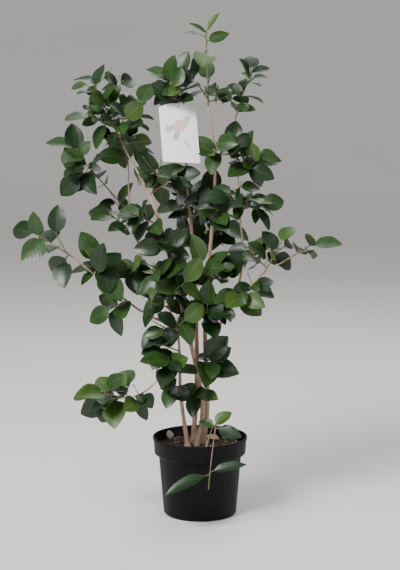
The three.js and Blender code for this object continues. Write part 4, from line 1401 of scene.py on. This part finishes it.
# Litter on the compost: a camellia leaf that has fallen and turned yellow, and one that has bleached and
# leans against the pot's wall. Both lie on the chips, over the place "over", and are modelled as the others.
# "looks" are the places of the upper side's and the underside's material in FALLEN_LOOKS.
FALLEN_LEAVES = [
    {
        "over": (52, 36), "heading": 160, "pitch": 12, "roll": -12,
        "length": 44, "half_width": 0.3, "curl": 0.1, "fold": 0.3, "looks": (0, 2),
    },
    {
        "over": (-80, 50), "heading": 100, "pitch": 58, "roll": 8,
        "length": 28, "half_width": 0.36, "curl": 0.2, "fold": 0.3, "looks": (1, 2),
    },
]
FALLEN_LOOKS = {
    "fallen leaf, yellowed": ("#767a3a", "#979a50", "#aaa76a", 0.55),
    "fallen leaf, bleached": ("#7d7672", "#a39c99", "#b3aca7", 0.7),
    "fallen leaf, underside": ("#95906a", "#b2ab86", "#c4bda0", 0.7),
}
LITTER_LIFT = 3
for leaf in FALLEN_LEAVES:
    along = heading_way(leaf["heading"], leaf["pitch"])
    face = (UP - along * along.dot(UP)).normalized()
    face.rotate(Matrix.Rotation(math.radians(leaf["roll"]), 3, along))
    leaf["root"] = ground_under(*leaf["over"]) + UP * LITTER_LIFT
    leaf["along"] = along
    leaf["face"] = face
fallen_looks = [leaf_material(name, *look) for name, look in FALLEN_LOOKS.items()]
litter = leaves_piece("fallen_leaves", FALLEN_LEAVES, fallen_looks, look_dice)
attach(litter, "root")

# The plant's card hangs from a side shoot by a ring of thin garden wire, bent round and closed. The ring is
# a torus that stands upright in the middle of its solid's place, square to the card.
RING_RADIUS = 10
RING_STEPS = 64
WIRE_RADIUS = 0.7
WIRE_SIDES = 12
CARD_HEADING = 20
tie_low, tie_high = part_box("tie")
ring_middle = (tie_low + tie_high) / 2
bpy.ops.object.select_all(action="DESELECT")
bpy.ops.mesh.primitive_torus_add(
    major_radius=RING_RADIUS * MM, minor_radius=WIRE_RADIUS * MM,
    major_segments=RING_STEPS, minor_segments=WIRE_SIDES,
    location=ring_middle, rotation=(math.pi / 2, 0, math.pi / 2 + math.radians(CARD_HEADING)),
)
ring = bpy.context.object
ring.name = "wire_ring"
bpy.ops.object.transform_apply(location=True, rotation=True, scale=True)
bpy.ops.object.shade_smooth()

# Garden wire: steel in dark green lacquer, worn to a dull grey where it has rubbed.
lacquer, tree, shader = new_material("lacquered garden wire", Metallic=0.3)
where = add_node(tree, "TexCoord").outputs["Object"]
wear = add_node(tree, "TexNoise", values={"Scale": scale_for(2.5), "Detail": 3}, links={"Vector": where})
worn = lay_over("#1c2320", "#4a4b48", wear, ends=(0.5, 0.7), most=0.7)
finish_skin(shader, worn, wear, roughness=(0.35, 0.6))
ring.data.materials.append(lacquer)
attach(ring, "root")
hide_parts("tie")

# The card is printed plastic sheet, die cut with an arched top, rounded corners and a punched hole, and bowed
# a little by sun and rain. It is made upright, facing the front, with the middle of its hole at the origin,
# then bent, swung on its ring, leaned back and turned, all in degrees, and hung below the ring's middle.
CARD_WIDTH = 100
CARD_HEIGHT = 164
CARD_THICK = 0.8
CARD_CELLS = (24, 36)
CARD_ARCH_RADIUS = 96.3
CARD_CORNER = 4
CARD_CORNER_STEPS = 5
CARD_HOLE_BELOW_TOP = 11
CARD_HOLE_RADIUS = 2.5
CARD_BOW = 9
CARD_SWING = 4
CARD_LEAN_BACK = 25
CARD_DROP = 11.1
CARD_SMOOTH_ANGLE = 30
DIE_DEPTH = 20
ARCH_DIE_SIDES = 180
PUNCH_SIDES = 32
PRINT_MARGIN = (5, 6)
card_middle = (CARD_HOLE_BELOW_TOP - CARD_HEIGHT / 2) * MM
bpy.ops.object.select_all(action="DESELECT")
bpy.ops.mesh.primitive_grid_add(
    x_subdivisions=CARD_CELLS[0], y_subdivisions=CARD_CELLS[1], size=1, rotation=(math.pi / 2, 0, 0)
)
card = bpy.context.object
card.name = "plant_card"
card.scale = (CARD_WIDTH * MM, CARD_HEIGHT * MM, 1)
card.location = (0, CARD_THICK / 2 * MM, card_middle)
bpy.ops.object.transform_apply(location=True, rotation=True, scale=True)
bpy.ops.object.mode_set(mode="EDIT")
bpy.ops.mesh.select_all(action="SELECT")
bpy.ops.mesh.extrude_region_move(TRANSFORM_OT_translate={"value": (0, -CARD_THICK * MM, 0)})
bpy.ops.mesh.select_all(action="SELECT")
bpy.ops.mesh.normals_make_consistent(inside=False)
bpy.ops.object.mode_set(mode="OBJECT")
bpy.ops.mesh.primitive_cube_add(size=1, location=(0, 0, card_middle))
corner_die = bpy.context.object
corner_die.scale = (CARD_WIDTH * MM, DIE_DEPTH * MM, CARD_HEIGHT * MM)
bpy.ops.object.transform_apply(location=True, rotation=True, scale=True)
apply_modifier(corner_die, "BEVEL", width=CARD_CORNER * MM, segments=CARD_CORNER_STEPS)
bpy.ops.mesh.primitive_cylinder_add(
    vertices=ARCH_DIE_SIDES, radius=CARD_ARCH_RADIUS * MM, depth=DIE_DEPTH * MM,
    location=(0, 0, (CARD_HOLE_BELOW_TOP - CARD_ARCH_RADIUS) * MM), rotation=(math.pi / 2, 0, 0),
)
arch_die = bpy.context.object
bpy.ops.mesh.primitive_cylinder_add(
    vertices=PUNCH_SIDES, radius=CARD_HOLE_RADIUS * MM, depth=DIE_DEPTH * MM, rotation=(math.pi / 2, 0, 0)
)
punch = bpy.context.object
for die, operation in ((corner_die, "INTERSECT"), (arch_die, "INTERSECT"), (punch, "DIFFERENCE")):
    apply_modifier(card, "BOOLEAN", operation=operation, object=die, solver="EXACT")
    bpy.data.objects.remove(die)

card_map = card.data.uv_layers[0]
card_foot = CARD_HOLE_BELOW_TOP - CARD_HEIGHT
for loop in card.data.loops:
    corner = card.data.vertices[loop.vertex_index].co / MM
    card_map.data[loop.index].uv = (corner.x / CARD_WIDTH + 0.5, (corner.z - card_foot) / CARD_HEIGHT)
faces_front = [face.normal.y < -0.5 for face in card.data.polygons]
apply_modifier(card, "SIMPLE_DEFORM", deform_method="BEND", deform_axis="Z", angle=math.radians(CARD_BOW))
swing = Matrix.Rotation(math.radians(CARD_SWING), 4, "Y")
lean = Matrix.Rotation(math.radians(-CARD_LEAN_BACK), 4, "X")
turned = Matrix.Rotation(math.radians(CARD_HEADING), 4, "Z")
card.matrix_world = Matrix.Translation(ring_middle - UP * (CARD_DROP * MM)) @ turned @ lean @ swing
select_only(card)
bpy.ops.object.transform_apply(location=True, rotation=True, scale=True)
bpy.ops.object.shade_smooth_by_angle(angle=math.radians(CARD_SMOOTH_ANGLE))

# Printed polypropylene, faded by the sun: white with a pale lilac field inside a white border, and a
# washed-out picture of a pink flower, a bud and grey-green leaves. Each row is a colour, a place from the
# card's lower left corner, a turn, a size, the number of petals and how deep they are cut.
CARD_PRINT = [
    ("#b9c7b8", (29, 93), 205, 19, 2, 0.3),
    ("#afbfb3", (42, 75), 250, 17, 2, 0.3),
    ("#c4cfbf", (70, 117), 55, 17, 2, 0.3),
    ("#f0c6cf", (52, 101), 0, 20, 6, 0.1),
    ("#ecb6c1", (52, 101), 30, 13.5, 5, 0.12),
    ("#e6dcae", (52, 101), 0, 4.5, 9, 0.1),
    ("#c4cfbf", (70, 50), 120, 10, 2, 0.3),
    ("#efc4cd", (64, 58), 20, 7, 3, 0.08),
]


def print_mask(tree, sheet, place, turn, size, petals, cut):
    """Where a printed flower or leaf lies. Its outline swings in and out once for each petal."""
    own = add_node(
        tree, "Mapping", settings={"vector_type": "TEXTURE"},
        values={"Location": (*place, 0), "Rotation": (0, 0, math.radians(turn)), "Scale": (size, size, 1)},
        links={"Vector": sheet},
    )
    parts = add_node(tree, "SeparateXYZ", links={"Vector": own})
    bearing = add_node(
        tree, "Math", settings={"operation": "ARCTAN2"}, links={0: parts.outputs["Y"], 1: parts.outputs["X"]}
    )
    lobes = add_node(tree, "Math", settings={"operation": "MULTIPLY"}, values={1: petals}, links={0: bearing})
    wave = add_node(tree, "Math", settings={"operation": "COSINE"}, links={0: lobes})
    edge = add_node(
        tree, "Math", settings={"operation": "MULTIPLY_ADD"}, values={1: cut, 2: 1 - cut}, links={0: wave}
    )
    distance = add_node(tree, "VectorMath", settings={"operation": "LENGTH"}, links={0: own}).outputs["Value"]
    reach = add_node(tree, "Math", settings={"operation": "DIVIDE"}, links={0: distance, 1: edge})
    return add_node(
        tree, "MapRange",
        values={"From Min": 0.9, "From Max": 1, "To Min": 1, "To Max": 0},
        links={"Value": reach},
    )


print_sheet, tree, shader = new_material("printed polypropylene card", IOR=1.49)
coordinates = add_node(tree, "TexCoord")
where, on_card = coordinates.outputs["Object"], coordinates.outputs["UV"]
sheet = add_node(
    tree, "Mapping", values={"Scale": (CARD_WIDTH, CARD_HEIGHT, 1)}, links={"Vector": on_card}
)
# The sheet's own coordinates are millimetres, so 29 of them are the width of a faded patch.
fading = add_node(tree, "TexNoise", values={"Scale": 1 / 29, "Detail": 3}, links={"Vector": sheet})
field = add_node(
    tree, "MixRGB",
    values={"Color1": linear("#f2f0f8"), "Color2": linear("#f9f5fa")},
    links={"Fac": fading},
)
for colour, *figure in CARD_PRINT:
    mask = print_mask(tree, sheet, *figure)
    field = add_node(tree, "MixRGB", values={"Color2": linear(colour)}, links={"Fac": mask, "Color1": field})
print_size = (CARD_WIDTH / 2 - PRINT_MARGIN[0], CARD_HEIGHT / 2 - PRINT_MARGIN[1], 1)
from_middle = add_node(
    tree, "Mapping", settings={"vector_type": "TEXTURE"},
    values={"Location": (CARD_WIDTH / 2, CARD_HEIGHT / 2, 0), "Scale": print_size},
    links={"Vector": sheet},
)
shares = add_node(tree, "VectorMath", settings={"operation": "ABSOLUTE"}, links={0: from_middle})
sides = add_node(tree, "SeparateXYZ", links={"Vector": shares})
furthest = add_node(
    tree, "Math", settings={"operation": "MAXIMUM"}, links={0: sides.outputs["X"], 1: sides.outputs["Y"]}
)
bordered = lay_over(field, "#fcfcfc", furthest, ends=(0.985, 1))
scuffs = add_node(tree, "TexNoise", values={"Scale": scale_for(11), "Detail": 4}, links={"Vector": where})
finish_skin(shader, bordered, scuffs, roughness=(0.38, 0.6), relief=(scuffs, 0.1, 0.3))
card.data.materials.clear()
card.data.materials.append(print_sheet)

# The sheet's back and its cut edges are bare: milky white, matt, a little dirty.
card.data.materials.append(grained_material(
    "bare polypropylene sheet", ("#dcdad6", "#efeeec"), {"Scale": scale_for(22), "Detail": 5},
    roughness=(0.7, 0.5), IOR=1.49,
))
for face, is_printed in zip(card.data.polygons, faces_front):
    face.material_index = 0 if is_printed else 1
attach(card, "root")
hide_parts("label")
